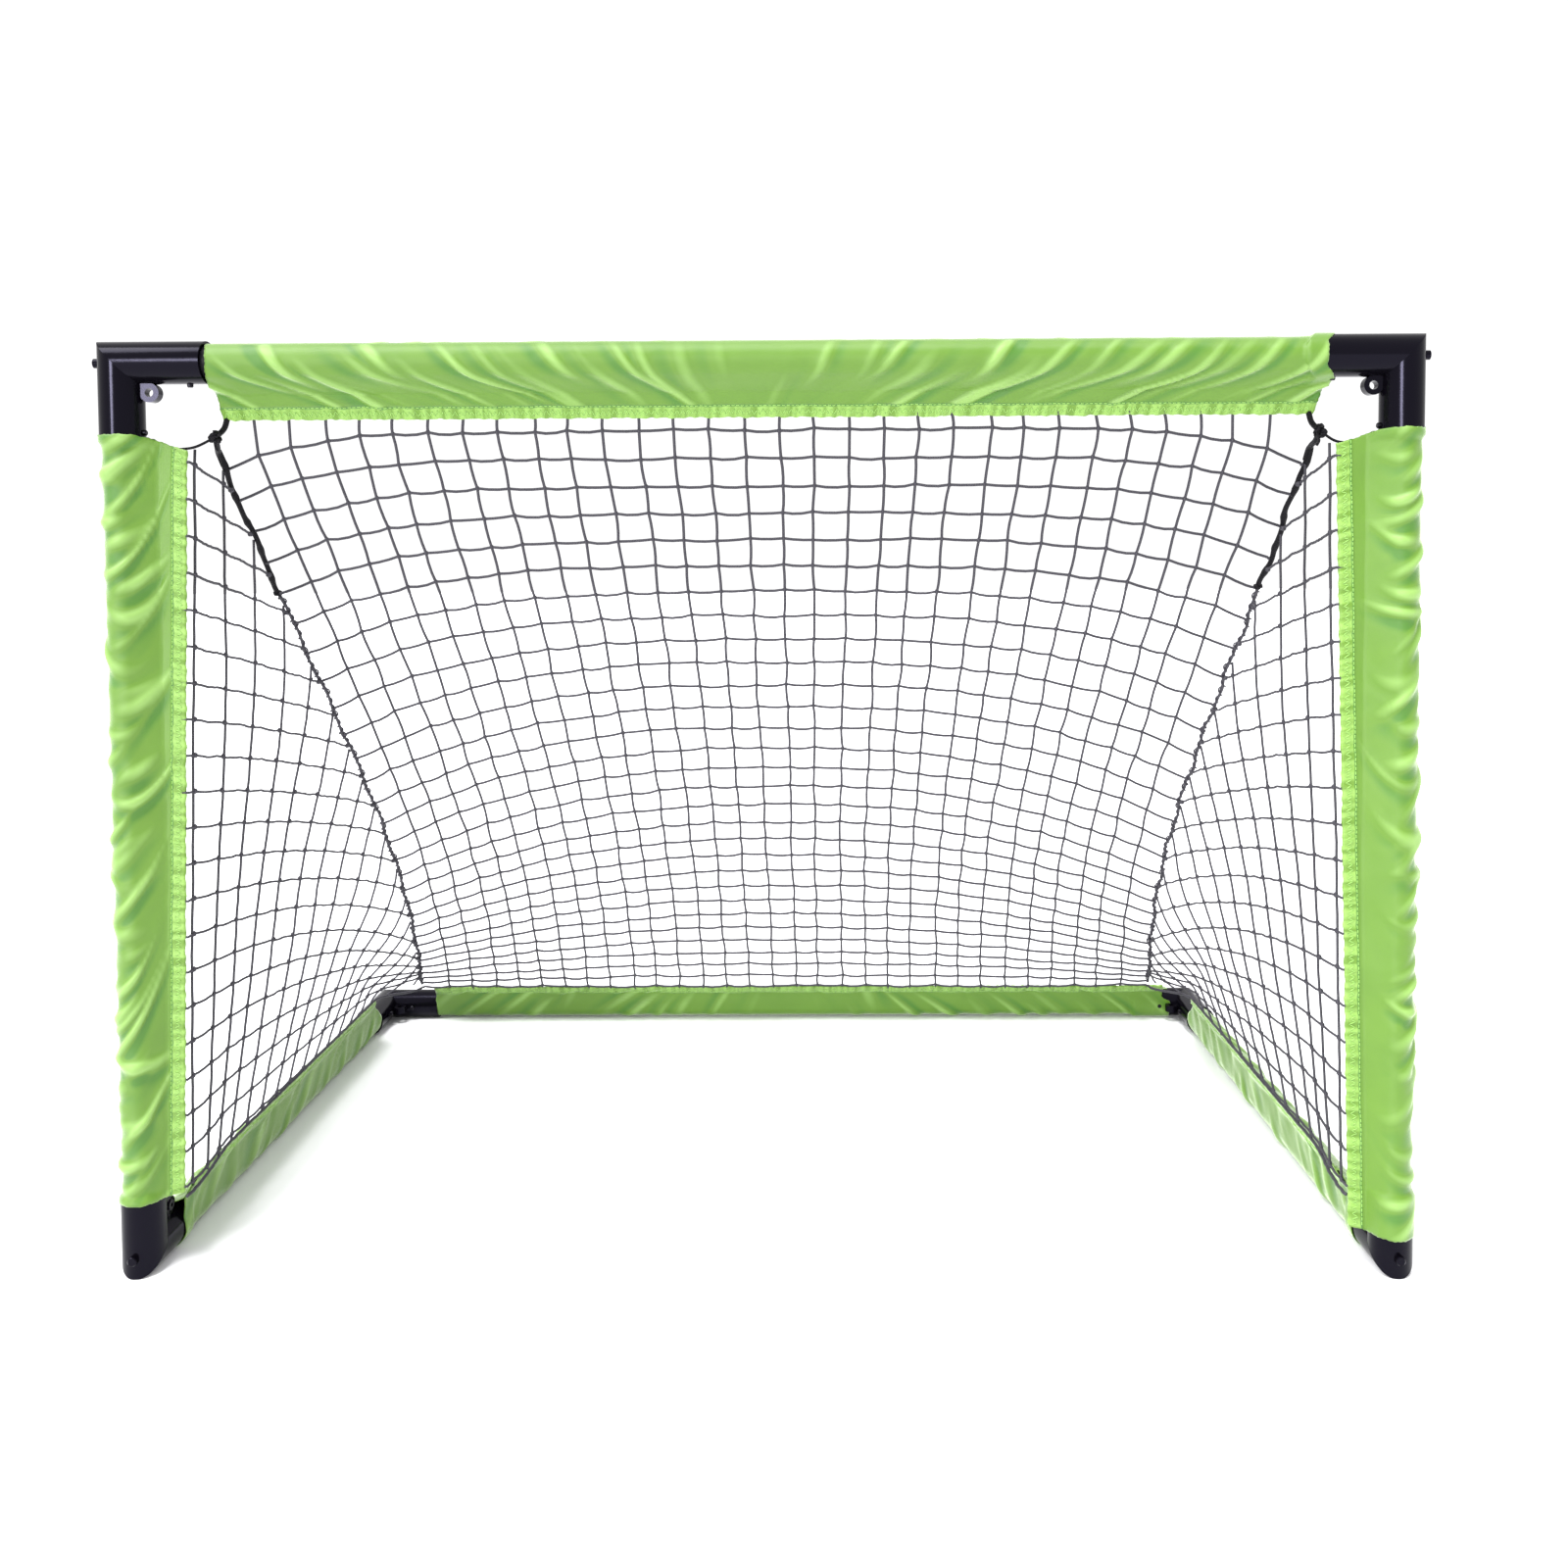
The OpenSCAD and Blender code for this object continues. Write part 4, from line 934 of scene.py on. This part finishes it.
# %% The shape of the back panel
BAR_EDGE, REAR_EDGE = mm(60.6, 52.6)
NET_TOP = BAR * [0, 1, 1] + BAR_EDGE * SLEEVES["crossbar_sleeve"]["flap"]
NET_LOW = REAR * [0, 1, 1] + REAR_EDGE * SLEEVES["rear_sleeve"]["flap"]
NET_RUN = NET_LOW - NET_TOP
NET_LENGTH = np.linalg.norm(NET_RUN)
NET_NORMAL = np.array([0, NET_RUN[2], -NET_RUN[1]]) / NET_LENGTH
SAG, SEAM_HALF, SEAM_BOW, SEAM_CLEAR = mm(14, 535, 35, 3.2)
SEAM_SKEW = 1.36
MESH, SIDE_TWINE_R, BACK_TWINE_R, KNOT_R = mm(34, 1.35, 1.55, 2.2)


def net_line(t):
    """Points of the back panel's middle line, from the crossbar at t = 0 to the rear at t = 1: a
    straight line plus a sag of half a sine wave square to it."""
    t = np.asarray(t, float)[..., None]
    return NET_TOP + NET_RUN * t + NET_NORMAL * SAG * np.sin(np.pi * np.clip(t, 0, 1))


def seam_x(t):
    """Half width of the back panel: it is bowed in by a skewed half sine wave."""
    t = np.clip(t, 0, 1)
    return SEAM_HALF - SEAM_BOW * np.sin(np.pi * t ** SEAM_SKEW)


def seam_path(t):
    """Line of the left seam, at the edge of the back panel."""
    line = net_line(t)
    line[..., 0] -= seam_x(t)
    return line


print("back panel", round(NET_LENGTH / MM), "mm long and", round(2 * seam_x(0.5) / MM), "mm wide at its middle")

# %% [markdown]
# The panel was made flat and is wider than the gap that it hangs in, so its rows can't lie
# straight: in the middle they are level, and towards the seams they hang lower and lower. A high
# power of the distance from the middle gives such a line, flat for long and then falling. The
# upper rows fall only close to the seam, the lower ones in one wide arc. Down the middle the rows
# lie about one mesh apart, a little more halfway, which a cubic of the row's number gives.

# %% The rows of the back panel
ROWS, COLUMNS = 30, 32
row = np.arange(ROWS)
row_t = (11.2 + 32.19 * row + 0.1977 * row ** 2 - 0.005 * row ** 3) * MM / NET_LENGTH
u = (row + 1) / ROWS
row_droop = 1.2 * (1 - u) ** 4 + 4.3 * np.sin(np.pi * u ** 1.25)
row_power = 2.25 + 5.8 * np.exp(-u / 0.13)


def back_point(c, r):
    """Knots of the back panel at column share c, from -1 to 1, and row r. The row hangs lower
    towards the seams by its droop, in meshes, times a power of |c|."""
    t = row_t[r] + row_droop[r] * MESH / NET_LENGTH * np.abs(c) ** row_power[r]
    point = net_line(np.minimum(t, 0.999))
    point[..., 0] = c * (seam_x(np.minimum(t, 0.999)) - SEAM_CLEAR)
    return point


print("the rows hang lower at the seams by up to", round(row_droop.max(), 1), "meshes")


# %% Tools for a knotted net
def wobble(seed, shape, size):
    """Random offsets, at most size."""
    return np.random.default_rng(seed).uniform(-size, size, shape)


def knots(at, ahead, size):
    """Group of knots: short thick beads along their strand. at is (knots, 3)."""
    along = np.array([-1.15, -0.55, 0.55, 1.15])[:, None] * KNOT_R
    radius = np.array([0.5, 1.0, 1.0, 0.5]) * KNOT_R * size[:, None]
    return tubes(at[:, None] + ahead[:, None] * along, radius, 5, (0.3, 0.2, 0.93))


def through(knot, steps, hang, seed):
    """Paths through a grid of knots (strands, knots, 3), with steps points between two knots. The
    strand between knots hangs down by hang times a half sine, and strays a little."""
    share = np.arange(steps) / steps
    a, b = knot[:, :-1, None], knot[:, 1:, None]
    between = a + (b - a) * share[None, None, :, None]
    bow = np.sin(np.pi * share)[None, None, :, None]
    stray = wobble(seed, (*knot[:, :-1].shape[:2], 1, 3), 0.9 * MM)
    path = (between + bow * (stray - [0, 0, hang])).reshape(knot.shape[0], -1, 3)
    return np.concatenate([path, knot[:, -1:]], axis=1)


def level(x, at):
    """Points at the x values given, at the depth and height of one point."""
    return np.stack([x, np.full_like(x, at[1]), np.full_like(x, at[2])], axis=-1)


print("a knot is", round(2 * 1.15 * KNOT_R / MM, 1), "mm long")

# %% Knot the back panel
IN_HEM = 7 * MM
TOP_HALF = 524 * MM
share = np.linspace(-1, 1, COLUMNS)
share[1:-1] = share[1:-1] * 0.992 + wobble(3, COLUMNS - 2, 0.0035)
c, r = np.meshgrid(share, row)
crossing = back_point(c, r) + wobble(5, (*c.shape, 3), 1.3 * MM)
crossing[:, [0, -1]] = back_point(c, r)[:, [0, -1]]
top_ends = level(share * TOP_HALF, NET_TOP - IN_HEM * SLEEVES["crossbar_sleeve"]["flap"])
low_ends = level(share * (SEAM_HALF - SEAM_CLEAR), NET_LOW - IN_HEM * SLEEVES["rear_sleeve"]["flap"])
down = np.concatenate([top_ends[None], crossing, low_ends[None]]).transpose(1, 0, 2)
to_lace = np.array([SEAM_CLEAR, 0, 0])
over = np.concatenate([crossing[:, :1] - to_lace, crossing, crossing[:, -1:] + to_lace], axis=1)
inner = crossing[:, 1:-1].reshape(-1, 3)
back_net = strands("back_net_mesh", [
    tubes(through(down[1:-1], 3, 0, 6), BACK_TWINE_R, 5, (1.0, 0.05, 0.02)),
    tubes(through(over, 3, 1.3 * MM, 7), BACK_TWINE_R, 5, (0.02, -0.75, 0.66)),
    knots(inner, np.broadcast_to(unit(NET_RUN), inner.shape), 1 + wobble(9, len(inner), 0.15)),
], net_twine)
print("back panel of", len(back_net.data.polygons), "faces,", len(inner), "knots")

# %% [markdown]
# A side panel is a triangle: its front edge is sewn to the post's hem, its lower edge to the side
# tube's hem, and its slanting edge is laced to the seam. Its columns hang down and fan out. Its
# upper rows slope down to the back, as those of a square net do when it hangs by one corner.
# The side tube's hem lies further out than the post's, so it pulls the lower part outwards.

# %% The shape of a side panel
SIDE_EDGE = np.array([-POST_X, 0, SIDE[2]]) + BAR_EDGE * SLEEVES["left_side_sleeve"]["flap"]
SIDE_TOP, POST_LOW, POST_HEM = mm(796, 74.5, 20.6)
PULL_FROM_POST = 120 * MM


def side_seam(t):
    """Line along which the left side panel is laced to the seam, a little in front of it."""
    return seam_path(t) - [0, SEAM_CLEAR * 2 ** 0.5, 0]


def pull(s, t, y):
    """Share by which the side tube's hem has pulled the panel over to itself: all of it along the
    lower edge, nothing at the post and at the seam, and fading fast further up."""
    to_seam = smooth((1 - s) / (0.16 + 0.8 * (1 - np.clip(t, 0, 1))))
    return smooth((y - POST[1]) / PULL_FROM_POST) * to_seam * np.clip(t, 0, 1) ** 5


def side_point(s, t):
    """Point of the left side panel: t runs down the post, s from the post's hem to the seam. It is
    a straight line from the post to the seam, pulled out and up to the side tube's hem."""
    s, t = np.broadcast_arrays(np.clip(s, 0.0, 1.0), np.clip(t, 0.0, 1.0))
    z = SIDE_TOP + (SIDE_EDGE[2] - SIDE_TOP) * t
    low, high = LEFT_POST["widths"]
    width = low + (high - low) * np.clip((z - POST_LOW) / (SIDE_TOP - POST_LOW), 0, 1)
    post = np.stack([width + POST_HEM - POST_X, np.full(t.shape, POST[1]), z], axis=-1)
    flat = post + (side_seam(t) - post) * s[..., None]
    rise = (SIDE_EDGE[2] - NET_LOW[2]) * s
    hem = np.stack([np.full(t.shape, SIDE_EDGE[0]), flat[..., 1], flat[..., 2] + rise], axis=-1)
    return flat + (hem - flat) * pull(s, t, flat[..., 1])[..., None]


def place_on_side(y, z):
    """s and t of the point of the side panel at depth y and height z, found by repeating: s is the
    share of the way to the seam at t, and t is corrected by how far the height at s and t misses."""
    t = (SIDE_TOP - z) / (SIDE_TOP - SIDE_EDGE[2])
    for _ in range(16):
        seam = side_seam(t)
        s = (y - POST[1]) / np.maximum(seam[..., 1] - POST[1], 1 * MM)
        post_z = SIDE_TOP + (SIDE_EDGE[2] - SIDE_TOP) * t
        high = post_z + (seam[..., 2] - post_z) * np.clip(s, 0, 1.2)
        high = high + (SIDE_EDGE[2] - NET_LOW[2]) * s * pull(s, t, y)
        t = t + (high - z) / (SIDE_TOP - SIDE_EDGE[2])
    return s, t


print("side panel meets the seam at its middle at", side_point(1, 0.5))

# %% The rows and columns of a side panel
SIDE_ROWS, SIDE_COLUMNS = 21, 19
FIRST_HEIGHT, SIDE_MESH, FIRST_DEPTH = mm(778, 34.8, 10)
PATH_STEPS = 61


def row_height(r, y):
    """Height of row r at depth y. The upper rows slope down from the post, the lower ones run
    almost level and then bend down to the seam."""
    back = y - POST[1]
    slope = np.maximum(0.30 - 0.018 * r, 0.02)
    bend = 0.025 * r * smooth((20.5 - r) / 7)
    return FIRST_HEIGHT - SIDE_MESH * r - slope * back - bend * back ** 2


def column_depth(k, z):
    """Depth of column k at height z. The columns fan out a little towards the top."""
    fan = 1 + 0.33 * smooth((z - 300 * MM) / (300 * MM))
    wider = 0.9 * k ** 2 * smooth(z / (280 * MM))
    return POST[1] + FIRST_DEPTH + (36 * k + wider) * fan * MM


def row_end(r):
    """Depth at which each row meets the seam or the side hem: the last of many tried depths that
    still lies on the panel."""
    y = POST[1] + np.linspace(0, 0.66, 1400)
    high = row_height(r[:, None], y[None, :])
    s, t = place_on_side(y[None, :], high)
    inside = (s <= 1) & (t <= 1) & (high > SIDE_EDGE[2])
    first_out = np.argmin(np.concatenate([inside, np.zeros((len(r), 1), bool)], axis=1), axis=1)
    return y[np.maximum(first_out - 1, 0)]


def column_top(k):
    """Height at which each column meets the seam, the first of many tried heights that lies
    behind it, or else just under the corner."""
    tried = np.linspace(SIDE_EDGE[2], 0.8, 1500)
    seam = side_seam(np.linspace(0, 1, 400))[::-1]
    clear = np.interp(tried, seam[:, 2], seam[:, 1]) - column_depth(k[:, None], tried)
    return np.where(clear.min(axis=1) < 0, tried[np.argmax(clear < 0, axis=1)], 0.79)


print("the rows end at depths", np.round(row_end(np.array([0.0, 10.0, 20.0])), 3), "m")


# %% The strands and knots of a side panel
def row_paths(r, stop, seed):
    """Paths of the rows, from inside the post's hem to the seam or the side hem. Between the
    columns they hang down a little."""
    y = POST[1] + (stop[:, None] - POST[1]) * np.linspace(0, 1, PATH_STEPS)
    sag = 1.2 * MM * np.abs(np.sin(np.pi * (y - POST[1] - FIRST_DEPTH) / (37 * MM)))
    paths = side_point(*place_on_side(y, row_height(r[:, None], y) - sag))
    paths = paths + wobble(seed, paths.shape, 0.35 * MM)
    return np.concatenate([paths[:, :1] - [6 * MM, 0, 0], paths], axis=1)


def column_paths(k, top, seed):
    """Paths of the columns, from the seam down to the lower edge, which they reach a little
    higher next to the post. They stray more and more on their way down, and come back."""
    share = np.linspace(0, 1, PATH_STEPS)
    low = SIDE_EDGE[2] + 8 * MM * smooth((2 - k[:, None]) / 2)
    z = top[:, None] + (low - top[:, None]) * share
    stray = np.cumsum(wobble(seed, z.shape, 0.5 * MM), axis=1)
    stray -= stray[:, -1:] * share
    paths = side_point(*place_on_side(column_depth(k[:, None], z), z))
    return paths + np.stack([stray * 0.4, stray, stray * 0], axis=-1)


def crossings(r, k, stop, top):
    """Points where a row and a column meet, found by repeating."""
    r, k = np.meshgrid(r, k, indexing="ij")
    z = FIRST_HEIGHT - SIDE_MESH * r
    for _ in range(30):
        z = 0.5 * z + 0.5 * row_height(r, column_depth(k, z))
    y = column_depth(k, z)
    met = (y < stop[:, None] - 3 * MM) & (z < top[None, :])
    return side_point(*place_on_side(y[met], z[met]))


def side_panel(seed):
    """Groups of tubes of one side panel, on the left. The twine along its lower edge is thicker,
    and so are the knots where the rows are laced to the seam."""
    r = np.arange(SIDE_ROWS, dtype=float)
    stop = row_end(r)
    r, stop = r[stop > POST[1] + 14 * MM], stop[stop > POST[1] + 14 * MM]
    k = np.arange(SIDE_COLUMNS, dtype=float)
    top = column_top(k)
    k, top = k[top > 0.08], top[top > 0.08]
    rows = row_paths(r, stop, seed)
    edge = side_point(np.linspace(0, 1, 121), 1.0)
    edge = (edge + wobble(seed + 4, edge.shape, 0.4 * MM))[None]
    laced = rows[rows[:, -1, 2] > SIDE_EDGE[2] + 8 * MM, -1]
    at = np.concatenate([crossings(r, k, stop, top), laced])
    size = 1 + wobble(seed + 2, len(at), 0.15)
    size[-len(laced):] *= 1.35
    return [tubes(rows, SIDE_TWINE_R, 5, (0.25, 0.1, 0.96)),
            tubes(column_paths(k, top, seed + 1), SIDE_TWINE_R, 5, (1.0, 0.4, 0.02)),
            tubes(edge, 1.3 * SIDE_TWINE_R, 6, (0.25, 0.1, 0.96)),
            knots(at, np.broadcast_to([0.0, 0.0, -1.0], at.shape), size)]


print("columns meet the seam at heights", np.round(column_top(np.array([0.0, 8.0, 16.0])), 3), "m")


# %% Knot the side panels
def mirrored(groups):
    """Groups of tubes mirrored to the right: x changes its sign and the faces run the other way."""
    made = []
    for points, quads, uv, ends in groups:
        made.append((points * [-1, 1, 1], quads[:, ::-1], uv[:, ::-1], [e[:, ::-1] for e in ends]))
    return made


left_net = strands("left_side_net_mesh", side_panel(21), net_twine)
right_net = strands("right_side_net_mesh", mirrored(side_panel(31)), net_twine)
print("side panels of", len(left_net.data.polygons), "faces each")

# %% [markdown]
# The seam starts at the top as a thick black cord, which ends in a knot. Below it goes on as a
# doubled net twine. A thinner twine is wound round it and through the edge meshes of both panels,
# which laces them together. A coil with three turns to a mesh, and a wider turn now and then where
# it takes in a knot, is enough to show that.


# %% Tools: smooth paths and fat knots
def spline(points, steps):
    """Smooth path through points: Catmull-Rom, which takes its direction at a point from the two
    neighbours."""
    p = np.concatenate([points[:1] * 2 - points[1:2], points, points[-1:] * 2 - points[-2:-1]])
    a, b, c, d = (part[:, None] for part in (p[:-3], p[1:-2], p[2:-1], p[3:]))
    u = np.linspace(0, 1, steps, endpoint=False)[None, :, None]
    bent = (2 * a - 5 * b + 4 * c - d) * u ** 2 + (3 * b - a - 3 * c + d) * u ** 3
    path = 0.5 * (2 * b + (c - a) * u + bent)
    return np.concatenate([path.reshape(-1, 3), points[-1:]])


def knot_coil(centre, size, turns, seed):
    """Path of a fat knot: a coil on a torus round the centre, tilted at random."""
    a = np.linspace(0, 2 * np.pi, 22 * turns)
    coil = a * (turns + 0.5)
    ring = size * (1 + 0.45 * np.cos(coil))
    loop = np.stack([ring * np.cos(a * 2), size * 0.75 * np.sin(coil), ring * np.sin(a * 2)], axis=-1)
    turn = np.linalg.qr(np.random.default_rng(seed).normal(size=(3, 3)))[0]
    return centre + loop @ turn


def knotted(centre, size, turns, radius, seed):
    """Group of one fat knot."""
    return tubes(knot_coil(centre, size, turns, seed)[None], radius, 6, (0.13, 0.21, 0.97))


print("a knot of three turns has", len(knot_coil(np.zeros(3), MM, 3, 1)), "points")

# %% The seam cords and their lacing
CORD_R, EDGE_R, LACE_R = mm(2.8, 1.7, 1.0)
SEAM_FROM, CORD_END, LACE_END, SEAM_END = 0.035, 0.216, 0.985, 0.992
SEAM_STRAYS = ((1.5 * MM, 0.11), (0.9 * MM, 0.045))
LACE_TURN = MESH / 3


def lacing(t, path):
    """Path of the lacing: it winds round the seam's path, given at t, and swings out wider at
    every sixth half turn."""
    u = np.linspace(CORD_END, LACE_END, 1300)
    centre = np.stack([np.interp(u, t, path[:, k]) for k in range(3)], axis=-1)
    turn = 2 * np.pi * u * NET_LENGTH / LACE_TURN
    ahead = unit(np.gradient(centre, axis=0))
    a = unit(np.cross(ahead, [1.0, 0, 0]))
    b = np.cross(ahead, a)
    swing = (EDGE_R + 0.5 * MM + 1.2 * MM * np.abs(np.sin(turn / 6)) ** 8)[:, None]
    return centre + swing * (a * np.cos(turn)[:, None] + b * np.sin(turn)[:, None])


def seam(seed):
    """Groups of the left seam: the cord with a knot at its end, then the doubled edge twine and
    the lacing. Both swell a little at every mesh."""
    t = np.linspace(SEAM_FROM, SEAM_END, 260)
    rng = np.random.default_rng(seed)
    path = seam_path(t)
    for size, period in SEAM_STRAYS:
        turn = 2 * np.pi * (t / period + rng.uniform(0, 1, 3)[:, None])
        path = path + size * np.sin(turn).T
    swell = 1 + 0.35 * np.exp(-(((t * NET_LENGTH / MESH) % 1 - 0.5) / 0.13) ** 2)
    upper, lower = t < CORD_END, t > CORD_END - 0.01
    cord = tubes(path[upper][None], CORD_R * swell[upper][None], 8, (1.0, 0.1, 0.1))
    knot = knotted(path[upper][-1], 2.3 * MM, 3, 1.6 * MM, seed)
    edge = tubes(path[lower][None], EDGE_R * swell[lower][None], 7, (1.0, 0.1, 0.1))
    beside = unit(NET_NORMAL * [0, 1, 1] + [0.2, 0, 0])
    return [cord, knot], [edge, tubes(lacing(t, path)[None], LACE_R, 4, beside)]


def two_cords(name, groups, first, second):
    """Strands of two materials: the first groups are of the first, the second of the second."""
    made = strands(name, groups[0] + groups[1], first)
    made.data.materials.append(second)
    is_second = np.ones(len(made.data.polygons), np.int32)
    is_second[:sum(len(g[1]) + sum(len(e) for e in g[3]) for g in groups[0])] = 0
    made.data.polygons.foreach_set("material_index", is_second)
    return made


left_seam = two_cords("left_seam_lacing", seam(4), black_cord, net_twine)
right_seam = two_cords("right_seam_lacing", [mirrored(g) for g in seam(8)], black_cord, net_twine)
print("seams of", len(left_seam.data.polygons), "faces each")

# %% [markdown]
# At each top corner the end of the seam cord is tied to the flaps of the crossbar and of the post,
# with a fat knot. No two such knots are alike, so each gets a seed of its own. The left and the
# right flap of the crossbar end at different places, and the ties follow them.

# %% Tie the top corners
THIN_TIE_R, TIE_KNOT, TIE_KNOT_R = mm(1.3, 3.6, 2.2)
LEFT_BAR_END, RIGHT_BAR_END = mm(-517, -527)
TIE_DEPTH, TIE_HEIGHT = mm(-331, 802)
TAIL = np.array([[0, 0, 0], [4, -5, -4], [3, -6, -10], [5, -5, -15]]) * MM


def corner_tie(bar_end, seed):
    """Groups of the left tie: a strand from the corner of the crossbar's flap to the knot, a thin
    one on to the post's flap, and one down to the seam, with a short tail."""
    centre = np.array([bar_end - 3.5 * MM, TIE_DEPTH, TIE_HEIGHT])
    bar_flap = np.array([bar_end + 3 * MM, -319 * MM, 821 * MM])
    above = np.array([bar_end + 1 * MM, -322 * MM, 811 * MM])
    post_flap = np.array([-551, -347.5, 789]) * MM
    halfway = centre + (post_flap - centre) * [0.5, 0.5, 0.75]
    on_seam = seam_path(np.array([0.036, 0.05]))
    before = centre + (on_seam[0] - centre) * [0.35, 0.4, 0.62]
    tail = centre + TAIL * np.random.default_rng(seed).uniform(0.8, 1.1)
    beside = (0.3, 0.9, 0.2)
    return [
        tubes(spline(np.array([bar_flap, above, centre]), 8)[None], CORD_R, 7, beside),
        tubes(spline(np.array([centre, halfway, post_flap]), 8)[None], THIN_TIE_R, 7, beside),
        tubes(spline(np.array([centre, before, *on_seam]), 10)[None], CORD_R, 7, beside),
        tubes(spline(tail, 6)[None], THIN_TIE_R, 6, beside),
        knotted(centre, TIE_KNOT, 4, TIE_KNOT_R, seed),
    ]


left_tie = strands("left_corner_knot", corner_tie(LEFT_BAR_END, 2), black_cord)
right_tie = strands("right_corner_knot", mirrored(corner_tie(RIGHT_BAR_END, 6)), black_cord)
print("ties of", len(left_tie.data.polygons), "faces each")

# %% [markdown]
# The side panels are fastened to the ground frame, and the corner ties to the front frame. The
# back panel and the seams keep their points in the frame of the goal. The CAD nodes that the net
# stands for are hidden.

# %% Fasten the side panels and the ties to their frames
STANDS_FOR = {
    "back_net": back_net, "left_side_net": left_net, "right_side_net": right_net,
    "left_seam_cord": left_seam, "right_seam_cord": right_seam,
    "left_corner_tie": left_tie, "right_corner_tie": right_tie,
}
for piece in (back_net, left_seam, right_seam):
    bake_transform(piece)
for piece in (left_net, right_net):
    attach(piece, "ground_frame")
    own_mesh(piece)
for piece in (left_tie, right_tie):
    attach(piece, "front_frame")
for node_name, piece in STANDS_FOR.items():
    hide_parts(node_name)
